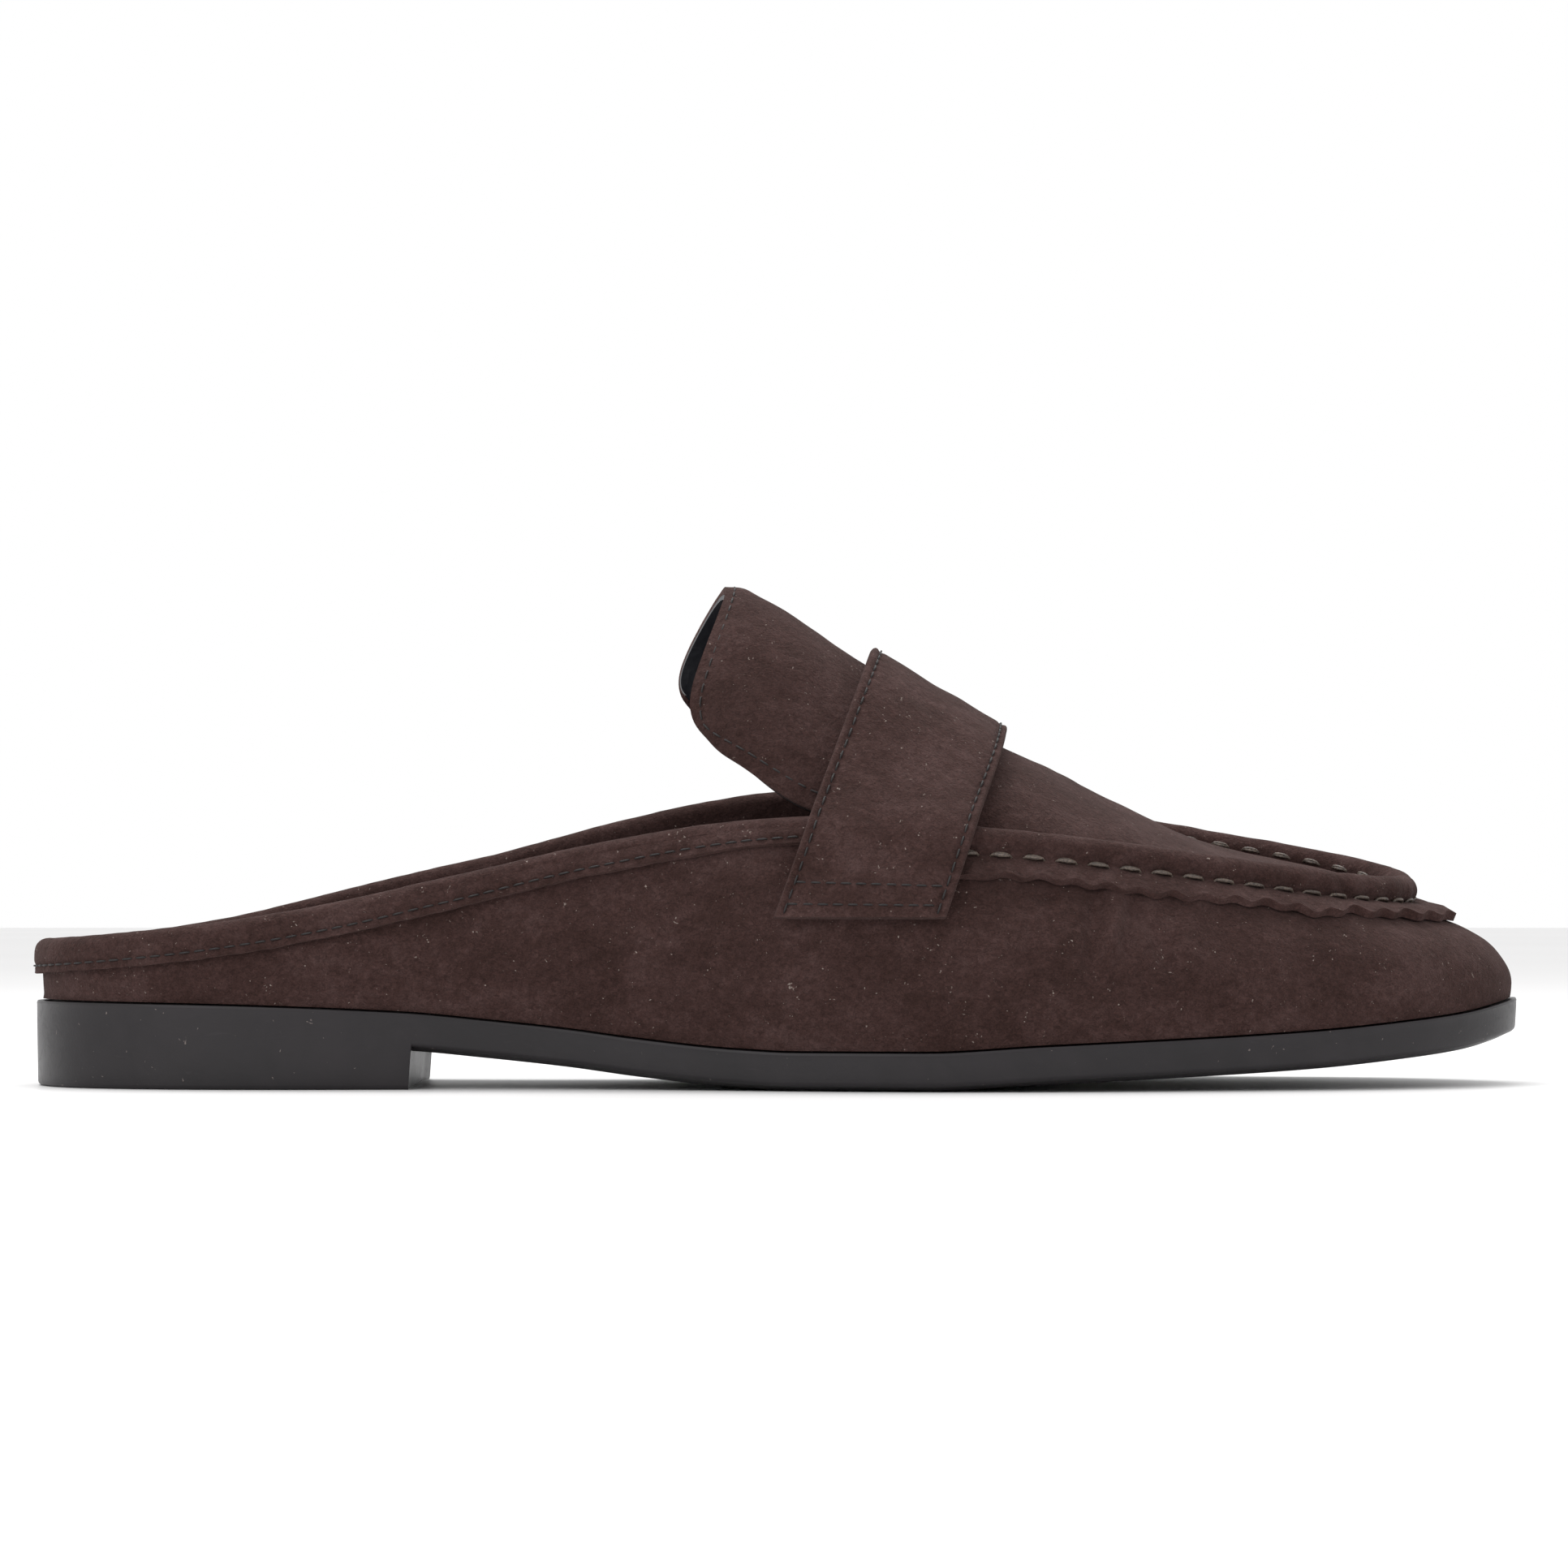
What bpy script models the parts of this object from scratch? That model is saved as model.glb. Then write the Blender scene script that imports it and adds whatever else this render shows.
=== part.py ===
"""Loafer mule for the right foot, in metres: +X to the toe, -Y to the outer side, +Z up.

The origin is under the middle of the shoe, on the floor. The shoe is a moulded sole with a low
heel, an insole, a hollow upper that is open at the back and over the instep, an apron that runs
up into a tongue, a raised rolled seam round the apron, a rolled collar binding and a wide strap.
"""
import math
from collections import namedtuple

import bpy
import bmesh
import numpy as np
from mathutils import Vector
from mathutils.bvhtree import BVHTree

# Driving sizes of the sole
SOLE_LENGTH = 0.256
BALL_WIDTH = 0.084
WAIST_WIDTH = 0.056
HEEL_WIDTH = 0.058
HEEL_HEIGHT = 0.0146
HEEL_LENGTH = 0.066
SOLE_THICKNESS = 0.0064
TOE_SPRING = 0.0086
EDGE_LIFT = 0.0008
EDGE_SHELF = 0.006
TOP_BEVEL = 0.0005
FOOT_ROUND = 0.0008
BREAST_SLANT = 0.0005

# Driving sizes of the upper and what is sewn to it
WALL = 0.0018
GAP = 0.0003
FEATHER_INSET = 0.0011
COLLAR_RISE = 0.0433
INSTEP_CROWN = 0.0262
APRON_THICKNESS = 0.0022
APRON_SINK = 0.0030
ROLL_RADIUS = 0.0023
FLANGE_LENGTH = 0.0052
FLANGE_TOE_LENGTH = 0.0034
FLANGE_THICKNESS = 0.0013
BINDING_LENGTH = 0.0038
BINDING_INNER_LENGTH = 0.0036
BINDING_THICKNESS = 0.0010
COLLAR_OVERHANG = 0.0005
STRAP_WIDTH = 0.028
STRAP_THICKNESS = 0.0019
STRAP_LEAN = 0.352
STRAP_GAP = 0.00055
STRAP_END_OUTER = 0.0216
STRAP_END_INNER = 0.0256
INSOLE_THICKNESS = 0.0030
INSOLE_INSET = 0.0042

# Places along the shoe, as shares of the sole's length from the heel back
STRAP_FOOT_SHARE = 0.552
BINDING_END_SHARE = 0.568
ROLL_START_SHARE = 0.582
FLANGE_TAPER_SHARE = 0.870

# Mesh counts
WALL_ROWS = 8
SOLE_PAIRS = 46
BINDING_STEPS = 50
BINDING_LEAF_POINTS = 3
BINDING_FOLD_POINTS = 5
ROLL_STEPS = 46
ROLL_POINTS = 9
FLANGE_POINTS = 3
RIB_STEPS = 3
RIB_TOE_STEPS = 6
APRON_ACROSS = 14
STRAP_ACROSS = 7
STRAP_ALONG = 38
STRAP_FINE = 10
STRAP_RAYS = 121
DENSE = 1440
SOFT_REACH = DENSE // 40

# Angles in degrees: where the roll starts and ends on its round section, and from which angle
# between faces an edge is shaded sharp
ROLL_FROM = -30
ROLL_TO = 235
SHARP_SOLE = 35
SHARP_LEATHER = 50

# Small steps by which a normal is measured, as shares of the perimeter and of the wall's height
NORMAL_STEP_ROUND = 1 / 720
NORMAL_STEP_UP = 0.01

# One row for each place round the shoe, from the heel back along the outer side to the toe and
# home along the inner side. along is a share of the sole's length, out a share of the width
# named in width, inset and belly shares of the ball width, rise a share of the collar rise, and
# turn the angle in degrees that the wall has turned inward at its top edge.
Station = namedtuple("Station", "along width out inset rise turn belly")
STATIONS = (
    Station(0.000, HEEL_WIDTH, 0.000, 0.021, 0.245, 8, 0.000),
    Station(0.027, HEEL_WIDTH, -0.321, 0.021, 0.256, 10, 0.002),
    Station(0.109, HEEL_WIDTH, -0.500, 0.022, 0.304, 16, 0.006),
    Station(0.258, HEEL_WIDTH, -0.503, 0.026, 0.495, 24, 0.014),
    Station(0.391, WAIST_WIDTH, -0.554, 0.040, 0.760, 36, 0.024),
    Station(0.484, BALL_WIDTH, -0.437, 0.074, 0.896, 48, 0.021),
    Station(0.586, BALL_WIDTH, -0.500, 0.113, 0.888, 58, 0.014),
    Station(0.780, BALL_WIDTH, -0.446, 0.142, 0.722, 66, 0.008),
    Station(0.937, BALL_WIDTH, -0.256, 0.192, 0.580, 73, 0.012),
    Station(1.000, BALL_WIDTH, 0.060, 0.233, 0.566, 72, 0.015),
    Station(0.947, BALL_WIDTH, 0.360, 0.192, 0.632, 73, 0.012),
    Station(0.827, BALL_WIDTH, 0.488, 0.155, 0.786, 68, 0.008),
    Station(0.664, BALL_WIDTH, 0.498, 0.140, 0.974, 60, 0.014),
    Station(0.469, WAIST_WIDTH, 0.490, 0.020, 1.000, 38, 0.024),
    Station(0.313, WAIST_WIDTH, 0.432, -0.012, 0.674, 26, 0.020),
    Station(0.215, HEEL_WIDTH, 0.481, 0.005, 0.495, 21, 0.013),
    Station(0.117, HEEL_WIDTH, 0.497, 0.022, 0.337, 16, 0.006),
    Station(0.027, HEEL_WIDTH, 0.321, 0.021, 0.258, 10, 0.002),
)

# Height of the sole's top edge: heel is a share of what the heel adds, spring a share of the
# toe spring. Between two rows of noughts the forefoot lies flat on the floor.
Profile = namedtuple("Profile", "along heel spring")
PROFILE = (
    Profile(0.000, 1.000, 0.000),
    Profile(0.129, 0.935, 0.000),
    Profile(0.254, 0.780, 0.000),
    Profile(0.305, 0.634, 0.000),
    Profile(0.363, 0.440, 0.000),
    Profile(0.406, 0.260, 0.000),
    Profile(0.469, 0.060, 0.000),
    Profile(0.512, 0.000, 0.000),
    Profile(0.594, 0.000, 0.000),
    Profile(0.668, 0.000, 0.116),
    Profile(0.785, 0.000, 0.280),
    Profile(0.855, 0.000, 0.407),
    Profile(0.910, 0.000, 0.560),
    Profile(0.953, 0.000, 0.710),
    Profile(1.000, 0.000, 1.000),
)

# One row for each rib of the apron and tongue, from the tongue's free end to the toe. along
# places the ridge, swing is how far the rib's feet stand back, tuck how far its very ends come
# forward again, all as shares of the sole's length. crown is a share of the instep crown. lift is
# how far the feet stand over the apron's seat in the seam, and draw how far they stand in from
# it, as shares of the ball width. arch is 1 for half an ellipse and less for a flatter bow. skew
# turns the rib in plan, its inner foot back and its outer foot forward, as a share of the length.
Rib = namedtuple("Rib", "along swing skew tuck crown lift lift_in draw arch")
RIBS = (
    Rib(0.4640, -0.0425, 0.0059, 0.0223, 0.882, 0.232, 0.248, 0.062, 0.86),
    Rib(0.4805, -0.0385, 0.0053, 0.0145, 1.005, 0.186, 0.176, 0.036, 0.86),
    Rib(0.5020, -0.0359, 0.0040, 0.0090, 1.040, 0.140, 0.111, 0.014, 0.86),
    Rib(0.5550, -0.0391, 0.0015, 0.0000, 0.873, 0.055, 0.050, 0.003, 0.86),
    Rib(0.6020, -0.0293, 0.0000, 0.0000, 0.762, 0.000, 0.000, 0.000, 0.86),
    Rib(0.6500, -0.0195, 0.0000, 0.0000, 0.533, 0.000, 0.000, 0.000, 0.84),
    Rib(0.6970, -0.0117, 0.0000, 0.0000, 0.366, 0.000, 0.000, 0.000, 0.80),
    Rib(0.7500, -0.0039, 0.0000, 0.0000, 0.200, 0.000, 0.000, 0.000, 0.74),
    Rib(0.7970, 0.0000, 0.0000, 0.0000, 0.080, 0.000, 0.000, 0.000, 0.66),
    Rib(0.8440, 0.0000, 0.0000, 0.0000, 0.035, 0.000, 0.000, 0.000, 0.60),
    Rib(0.8910, 0.0000, 0.0000, 0.0000, 0.020, 0.000, 0.000, 0.000, 0.60),
)
TUCK_POWER = 6
RIB_END_CLEARANCE = 0.0004

HEEL_BACK_X = (COLLAR_OVERHANG - SOLE_LENGTH) / 2


def at_length(share):
    """World X of a place given as a share of the sole's length."""
    return HEEL_BACK_X + share * SOLE_LENGTH


def eased(knots, values, places):
    """Smooth curve through rows that never swings past them, and is flat between equal rows."""
    knots = np.asarray(knots, float)
    values = np.asarray(values, float)
    places = np.clip(np.asarray(places, float), knots[0], knots[-1])
    step = np.diff(knots)
    slope = np.diff(values) / step
    tangent = np.zeros(len(values))
    tangent[0] = slope[0]
    tangent[-1] = slope[-1]
    for row in range(1, len(values) - 1):
        before, after = slope[row - 1], slope[row]
        if before * after > 0:
            tangent[row] = 2 * before * after / (before + after)
    cell = np.clip(np.searchsorted(knots, places, side="right") - 1, 0, len(step) - 1)
    t = (places - knots[cell]) / step[cell]
    rise = 3 * t ** 2 - 2 * t ** 3
    bend = tangent[cell] * (t ** 3 - 2 * t ** 2 + t) + tangent[cell + 1] * (t ** 3 - t ** 2)
    return values[cell] + rise * (values[cell + 1] - values[cell]) + bend * step[cell]


def closed_spline(knots, values, places):
    """Periodic cubic spline; knots has one more entry than values, the closing one."""
    count = len(values)
    step = np.diff(knots)
    follow = np.roll(values, -1)
    slope = (follow - values) / step
    matrix = np.zeros((count, count))
    for row in range(count):
        matrix[row, row - 1] += step[row - 1]
        matrix[row, row] += 2 * (step[row - 1] + step[row])
        matrix[row, (row + 1) % count] += step[row]
    curve = np.linalg.solve(matrix, 6 * (slope - np.roll(slope, 1)))
    cell = np.clip(np.searchsorted(knots, places, side="right") - 1, 0, count - 1)
    h = step[cell]
    b = (places - knots[cell]) / h
    a = 1 - b
    straight = a * values[cell] + b * follow[cell]
    bow = (a ** 3 - a) * curve[cell] + (b ** 3 - b) * np.roll(curve, -1)[cell]
    return straight + bow * h ** 2 / 6


def inward(points):
    """Unit normals that point into a closed plan curve running outer side first."""
    along = np.roll(points, -1, axis=0) - np.roll(points, 1, axis=0)
    along /= np.linalg.norm(along, axis=1)[:, None]
    return np.stack([-along[:, 1], along[:, 0]], axis=1)


def softened(directions):
    """Unit vectors round a closed curve, each averaged with those SOFT_REACH places to its sides."""
    total = sum(np.roll(directions, k, axis=0) for k in range(-SOFT_REACH, SOFT_REACH + 1))
    return total / np.linalg.norm(total, axis=1)[:, None]


def sole_top(x):
    """Height of the sole's top edge at a world X."""
    share = (np.asarray(x) - HEEL_BACK_X) / SOLE_LENGTH
    along = [row.along for row in PROFILE]
    heel = eased(along, [row.heel for row in PROFILE], share)
    spring = eased(along, [row.spring for row in PROFILE], share)
    return SOLE_THICKNESS + heel * (HEEL_HEIGHT - SOLE_THICKNESS) + spring * TOE_SPRING


def survey():
    """The shoe's outline, feather line and rim, sampled closely round the shoe."""
    points = np.array([(at_length(row.along), row.out * row.width) for row in STATIONS])
    chord = np.linalg.norm(np.roll(points, -1, axis=0) - points, axis=1)
    knots = np.concatenate([[0.0], np.cumsum(chord)])
    places = np.linspace(0, knots[-1], DENSE, endpoint=False)

    def column(values):
        return closed_spline(knots, np.array(values, float), places)

    outline = np.stack([column(points[:, 0]), column(points[:, 1])], axis=1)
    into = inward(outline)
    inset = column([row.inset for row in STATIONS]) * BALL_WIDTH
    rim = outline + softened(into) * inset[:, None]
    rim_out = -inward(rim)
    rise = column([row.rise for row in STATIONS]) * COLLAR_RISE
    return {
        "outline": outline,
        "into": into,
        "feather": outline + into * FEATHER_INSET,
        "rim": rim,
        "rim_out": rim_out,
        "crest": sole_top(rim[:, 0]) + rise,
        "turn": np.radians(column([row.turn for row in STATIONS])),
        "belly": column([row.belly for row in STATIONS]) * BALL_WIDTH,
    }


SURVEY = survey()


def look_up(name, u):
    """A surveyed value at perimeter places u, which run from 0 to 1 round the shoe."""
    table = SURVEY[name]
    place = (np.asarray(u, float) % 1.0) * DENSE
    low = np.floor(place).astype(int) % DENSE
    part = place - np.floor(place)
    if table.ndim == 2:
        part = part[..., None]
    return table[low] * (1 - part) + table[(low + 1) % DENSE] * part


def smooth_step(value, low, high):
    """0 below low, 1 above high, eased between."""
    t = np.clip((value - low) / (high - low), 0, 1)
    return t * t * (3 - 2 * t)


def wall_top(u):
    """Outer top edge of the upper's wall: under the binding's fold, then under the roll."""
    rim = look_up("rim", u)
    out = look_up("rim_out", u)
    share = smooth_step(rim[..., 0], at_length(BINDING_END_SHARE), at_length(ROLL_START_SHARE))
    under_fold = WALL / 2 + GAP + BINDING_THICKNESS
    under_roll = 2 * ROLL_RADIUS + GAP + FLANGE_THICKNESS * (1 - np.cos(look_up("turn", u)))
    drop = under_fold + share * (under_roll - under_fold)
    plan = rim + out * (WALL / 2)
    return np.concatenate([plan, (look_up("crest", u) - drop)[..., None]], axis=-1)


def wall_skin(u, t):
    """Outer face of the upper at perimeter place u and height share t."""
    u = np.asarray(u, float)
    t = np.asarray(t, float)
    feather = look_up("feather", u)
    foot = np.concatenate([feather, (sole_top(feather[..., 0]) + GAP)[..., None]], axis=-1)
    top = wall_top(u)
    turn = look_up("turn", u)
    angle = t * turn
    across = (1 - np.cos(angle)) / (1 - np.cos(turn))
    up = np.sin(angle) / np.sin(turn)
    share = np.stack([across, across, up], axis=-1)
    swell = look_up("belly", u) * np.sin(np.pi * t)
    skin = foot + (top - foot) * share
    skin[..., :2] -= look_up("into", u) * swell[..., None]
    return skin


def wall_point(u, t, depth):
    """A point of the wall at a depth under its outer face; a negative depth stands proud."""
    low_t = np.clip(t - NORMAL_STEP_UP, 0, 1)
    high_t = np.clip(t + NORMAL_STEP_UP, 0, 1)
    around = wall_skin(u + NORMAL_STEP_ROUND, t) - wall_skin(u - NORMAL_STEP_ROUND, t)
    upward = wall_skin(u, high_t) - wall_skin(u, low_t)
    normal = np.cross(around, upward)
    normal /= np.linalg.norm(normal, axis=-1)[..., None]
    return wall_skin(u, t) - normal * np.asarray(depth)[..., None]


def wall_height(u):
    """Length of the wall's outer face from feather line to top edge."""
    t = np.linspace(0, 1, WALL_ROWS + 1)
    skin = wall_skin(np.full(len(t), u), t)
    return float(np.sum(np.linalg.norm(np.diff(skin, axis=0), axis=1)))


def material(name, colour, roughness):
    """Plain Principled material."""
    made = bpy.data.materials.new(name)
    made.use_nodes = True
    shader = made.node_tree.nodes["Principled BSDF"]
    shader.inputs["Base Color"].default_value = (*colour, 1.0)
    shader.inputs["Roughness"].default_value = roughness
    shader.inputs["Metallic"].default_value = 0.0
    return made


def add_object(name, bm, finish, sharp_degrees):
    """Turn a closed bmesh into an object with outward faces and smooth shading."""
    bmesh.ops.recalc_face_normals(bm, faces=bm.faces)
    if bm.calc_volume(signed=True) < 0:
        bmesh.ops.reverse_faces(bm, faces=bm.faces)
    mesh = bpy.data.meshes.new(name)
    bm.to_mesh(mesh)
    bm.free()
    mesh.shade_smooth()
    mesh.set_sharp_from_angle(angle=math.radians(sharp_degrees))
    mesh.materials.append(finish)
    made = bpy.data.objects.new(name, mesh)
    bpy.context.scene.collection.objects.link(made)
    return made


def quads_between(bm, first, second, closed):
    """Quads between two rows of vertices of one length."""
    count = len(first) if closed else len(first) - 1
    for i in range(count):
        j = (i + 1) % len(first)
        bm.faces.new((first[i], first[j], second[j], second[i]))


def ring_loft(bm, rings, closed):
    """Bridge rings of points, each a closed section; cap the ends when not closed."""
    rows = [[bm.verts.new(p) for p in ring] for ring in rings]
    for first, second in zip(rows, rows[1:]):
        quads_between(bm, first, second, True)
    if closed:
        quads_between(bm, rows[-1], rows[0], True)
    else:
        bm.faces.new(rows[0])
        bm.faces.new(list(reversed(rows[-1])))


def plate(bm, outer, inner):
    """Closed plate between two grids of points of one shape."""
    top = [[bm.verts.new(p) for p in row] for row in outer]
    low = [[bm.verts.new(p) for p in row] for row in inner]
    for grid in (top, low):
        for first, second in zip(grid, grid[1:]):
            quads_between(bm, first, second, False)
    quads_between(bm, top[0], low[0], False)
    quads_between(bm, top[-1], low[-1], False)
    for side in (0, -1):
        quads_between(bm, [row[side] for row in top], [row[side] for row in low], False)


def paired_places():
    """Perimeter places in pairs of one X, outer and inner side, with the breast's two rows."""
    outline = SURVEY["outline"]
    toe = int(np.argmax(outline[:, 0]))
    heel = int(np.argmin(outline[:, 0]))
    heel_turn = heel - DENSE if heel > toe else heel
    outer_side = np.arange(heel_turn, toe + 1)
    inner_side = np.arange(heel_turn + DENSE, toe - 1, -1)
    outer_x = outline[outer_side % DENSE, 0]
    inner_x = outline[inner_side % DENSE, 0]
    run = np.cumsum(np.linalg.norm(np.diff(outline[outer_side % DENSE], axis=0), axis=1))
    x = np.interp(np.linspace(0, run[-1], SOLE_PAIRS + 1)[1:-1], np.append(0, run), outer_x)
    breast = HEEL_BACK_X + HEEL_LENGTH
    x = x[(x < breast - BREAST_SLANT) | (x > breast + 2 * BREAST_SLANT)]
    x = np.sort(np.append(x, [breast, breast + BREAST_SLANT]))
    outer_u = np.interp(x, outer_x, outer_side) / DENSE
    inner_u = np.interp(x, inner_x, inner_side) / DENSE
    behind = x <= breast
    return outer_u, inner_u, behind, heel_turn / DENSE, toe / DENSE


def capped_slab(bm, rings, pairs):
    """Closed slab: rings run round from the heel tip, and both ends are bridged side to side."""
    rows = [[bm.verts.new(p) for p in ring] for ring in rings]
    for first, second in zip(rows, rows[1:]):
        quads_between(bm, first, second, True)
    for row in (rows[0], rows[-1]):
        outer = row[1:pairs + 1]
        toe = row[pairs + 1]
        inner = list(reversed(row[pairs + 2:]))
        bm.faces.new((row[0], outer[0], inner[0]))
        quads_between(bm, outer, inner, False)
        bm.faces.new((toe, inner[-1], outer[-1]))


def slab_ring(places, inset, height):
    """One ring of a slab: perimeter places moved inward, at heights given by a function of X."""
    plan = look_up("outline", places) + look_up("into", places) * np.asarray(inset)[..., None]
    return np.column_stack([plan, height(plan[:, 0])])


def build_outsole():
    """Moulded sole and heel in one: flat heel, arched waist, flat tread and toe spring."""
    outer_u, inner_u, behind, heel_u, toe_u = paired_places()
    pairs = len(outer_u)
    places = np.concatenate([[heel_u], outer_u, [toe_u], inner_u[::-1]])
    is_heel = np.concatenate([[True], behind, [False], behind[::-1]])

    def under(x):
        return np.where(is_heel, 0.0, sole_top(x) - SOLE_THICKNESS)

    edge_lift = np.where(is_heel, 0.0, EDGE_LIFT)
    rings = [
        slab_ring(places, TOP_BEVEL, sole_top),
        slab_ring(places, 0.0, lambda x: sole_top(x) - TOP_BEVEL),
        slab_ring(places, TOP_BEVEL / 2, lambda x: under(x) + edge_lift + FOOT_ROUND),
        slab_ring(places, TOP_BEVEL / 2 + FOOT_ROUND, lambda x: under(x) + edge_lift),
        slab_ring(places, EDGE_SHELF, under),
    ]
    bm = bmesh.new()
    capped_slab(bm, rings, pairs)
    finish = material("satin_black_sole", (0.020, 0.017, 0.019), 0.38)
    return add_object("outsole", bm, finish, SHARP_SOLE)


def build_insole():
    """Leather sock over a thin board, inside the foot of the upper."""
    outer_u, inner_u, _, heel_u, toe_u = paired_places()
    outer_u = outer_u[::2]
    inner_u = inner_u[::2]
    places = np.concatenate([[heel_u], outer_u, [toe_u], inner_u[::-1]])
    rings = [
        slab_ring(places, INSOLE_INSET, lambda x: sole_top(x) + GAP),
        slab_ring(places, INSOLE_INSET, lambda x: sole_top(x) + INSOLE_THICKNESS - TOP_BEVEL),
        slab_ring(places, INSOLE_INSET + TOP_BEVEL, lambda x: sole_top(x) + INSOLE_THICKNESS),
    ]
    bm = bmesh.new()
    capped_slab(bm, rings, len(outer_u))
    finish = material("insole_leather", (0.045, 0.028, 0.022), 0.55)
    return add_object("insole", bm, finish, SHARP_SOLE)


def build_upper():
    """Hollow wall of the shoe, from the feather line up to collar and apron seam."""
    collar = places_between(at_length(BINDING_END_SHARE), BINDING_STEPS, False)
    seam = places_between(at_length(ROLL_START_SHARE), ROLL_STEPS, True)
    places = np.sort(np.concatenate([collar, seam]) % 1.0)
    heights = np.linspace(0, 1, WALL_ROWS + 1)
    rings = []
    for u in places:
        around = np.full(len(heights), u)
        outer = wall_point(around, heights, 0.0)
        inner = wall_point(around, heights, WALL)
        inner[0, 2] = outer[0, 2]
        rings.append(list(outer) + list(inner[::-1]))
    bm = bmesh.new()
    ring_loft(bm, rings, True)
    finish = material("brown_suede", (0.055, 0.030, 0.028), 0.92)
    return add_object("upper", bm, finish, SHARP_LEATHER)


def places_between(start_x, steps, through_toe):
    """Perimeter places of the rim from start_x on the outer side to start_x on the inner side."""
    rim_x = SURVEY["rim"][:, 0]
    toe = int(np.argmax(rim_x))
    heel = int(np.argmin(rim_x))
    heel_turn = heel - DENSE if heel > toe else heel
    outer_side = np.arange(heel_turn, toe + 1)
    inner_side = np.arange(heel_turn + DENSE, toe - 1, -1)
    first = np.interp(start_x, rim_x[outer_side % DENSE], outer_side) / DENSE
    last = np.interp(start_x, rim_x[inner_side % DENSE], inner_side) / DENSE
    if not through_toe:
        first, last = last, first + 1
    return np.linspace(first, last, steps + 1)


def build_collar_binding():
    """Rolled leather binding folded over the collar's edge, from strap to strap by the heel."""
    turns = np.linspace(0, math.pi, BINDING_FOLD_POINTS)
    rings = []
    for u in places_between(at_length(BINDING_END_SHARE), BINDING_STEPS, False):
        tall = wall_height(u)
        down = np.linspace(1 - BINDING_LENGTH / tall, 1, BINDING_LEAF_POINTS)
        down_in = np.linspace(1 - BINDING_INNER_LENGTH / tall, 1, BINDING_LEAF_POINTS)
        around = np.full(BINDING_LEAF_POINTS, u)
        rim = look_up("rim", u)
        out = np.append(look_up("rim_out", u), 0.0)
        centre = np.append(rim, wall_top(u)[2])

        def arc(radius):
            return [centre + radius * (math.cos(a) * out + math.sin(a) * np.array((0, 0, 1)))
                    for a in turns[1:-1]]

        outside = wall_point(around, down, -(GAP + BINDING_THICKNESS))
        inside = wall_point(around, down_in, WALL + GAP + BINDING_THICKNESS)
        slot_in = wall_point(around, down_in, WALL + GAP)
        slot_out = wall_point(around, down, -GAP)
        ring = list(outside) + arc(WALL / 2 + GAP + BINDING_THICKNESS)
        ring += list(inside[::-1]) + list(slot_in) + arc(WALL / 2 + GAP)[::-1]
        ring += list(slot_out[::-1])
        rings.append(ring)
    bm = bmesh.new()
    ring_loft(bm, rings, False)
    finish = material("binding_leather", (0.060, 0.033, 0.030), 0.85)
    return add_object("collar_binding", bm, finish, SHARP_LEATHER)


def flange_length(u):
    """Length of the flange under the roll, which narrows round the toe."""
    rim_x = look_up("rim", u)[..., 0]
    share = smooth_step(rim_x, at_length(FLANGE_TAPER_SHARE), SURVEY["rim"][:, 0].max())
    return FLANGE_LENGTH + share * (FLANGE_TOE_LENGTH - FLANGE_LENGTH)


def build_moc_seam_roll():
    """Raised roll round the apron with the flange that lies on the upper under it."""
    turns = np.radians(np.linspace(ROLL_FROM, ROLL_TO, ROLL_POINTS))
    rings = []
    for u in places_between(at_length(ROLL_START_SHARE), ROLL_STEPS, True):
        low = 1 - flange_length(u) / wall_height(u)
        down = np.linspace(low, 1, FLANGE_POINTS + 1)[:-1]
        around = np.full(FLANGE_POINTS, u)
        rim = look_up("rim", u)
        out = np.append(look_up("rim_out", u), 0.0)
        centre = np.append(rim, look_up("crest", u) - ROLL_RADIUS)
        up = np.array((0, 0, 1))
        bead = [centre + ROLL_RADIUS * (math.cos(a) * out + math.sin(a) * up) for a in turns]
        over_edge = wall_point(u, 1.0, -GAP) + up * GAP
        ring = list(wall_point(around, down, -(GAP + FLANGE_THICKNESS))) + bead
        ring += [over_edge] + list(wall_point(around, down, -GAP)[::-1])
        rings.append(ring)
    bm = bmesh.new()
    ring_loft(bm, rings, False)
    finish = material("roll_suede", (0.060, 0.033, 0.031), 0.92)
    return add_object("moc_seam_roll", bm, finish, SHARP_LEATHER)


def seat_line():
    """Line inside the roll where the apron's edge sits, with its height, round the shoe."""
    reach = max(ROLL_RADIUS, WALL / 2 + GAP + BINDING_THICKNESS) + GAP
    plan = SURVEY["rim"] - SURVEY["rim_out"] * reach
    return np.column_stack([plan, SURVEY["crest"] - APRON_SINK])


SEAT = seat_line()


def seat_at(x, inner):
    """Seat of the apron's edge at a world X, on the outer or the inner side."""
    toe = int(np.argmax(SEAT[:, 0]))
    heel = int(np.argmin(SEAT[:, 0]))
    heel_turn = heel - DENSE if heel > toe else heel
    if inner:
        side = np.arange(heel_turn + DENSE, toe - 1, -1)
    else:
        side = np.arange(heel_turn, toe + 1)
    points = SEAT[side % DENSE]
    return np.array([np.interp(x, points[:, 0], points[:, k]) for k in range(3)])


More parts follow.
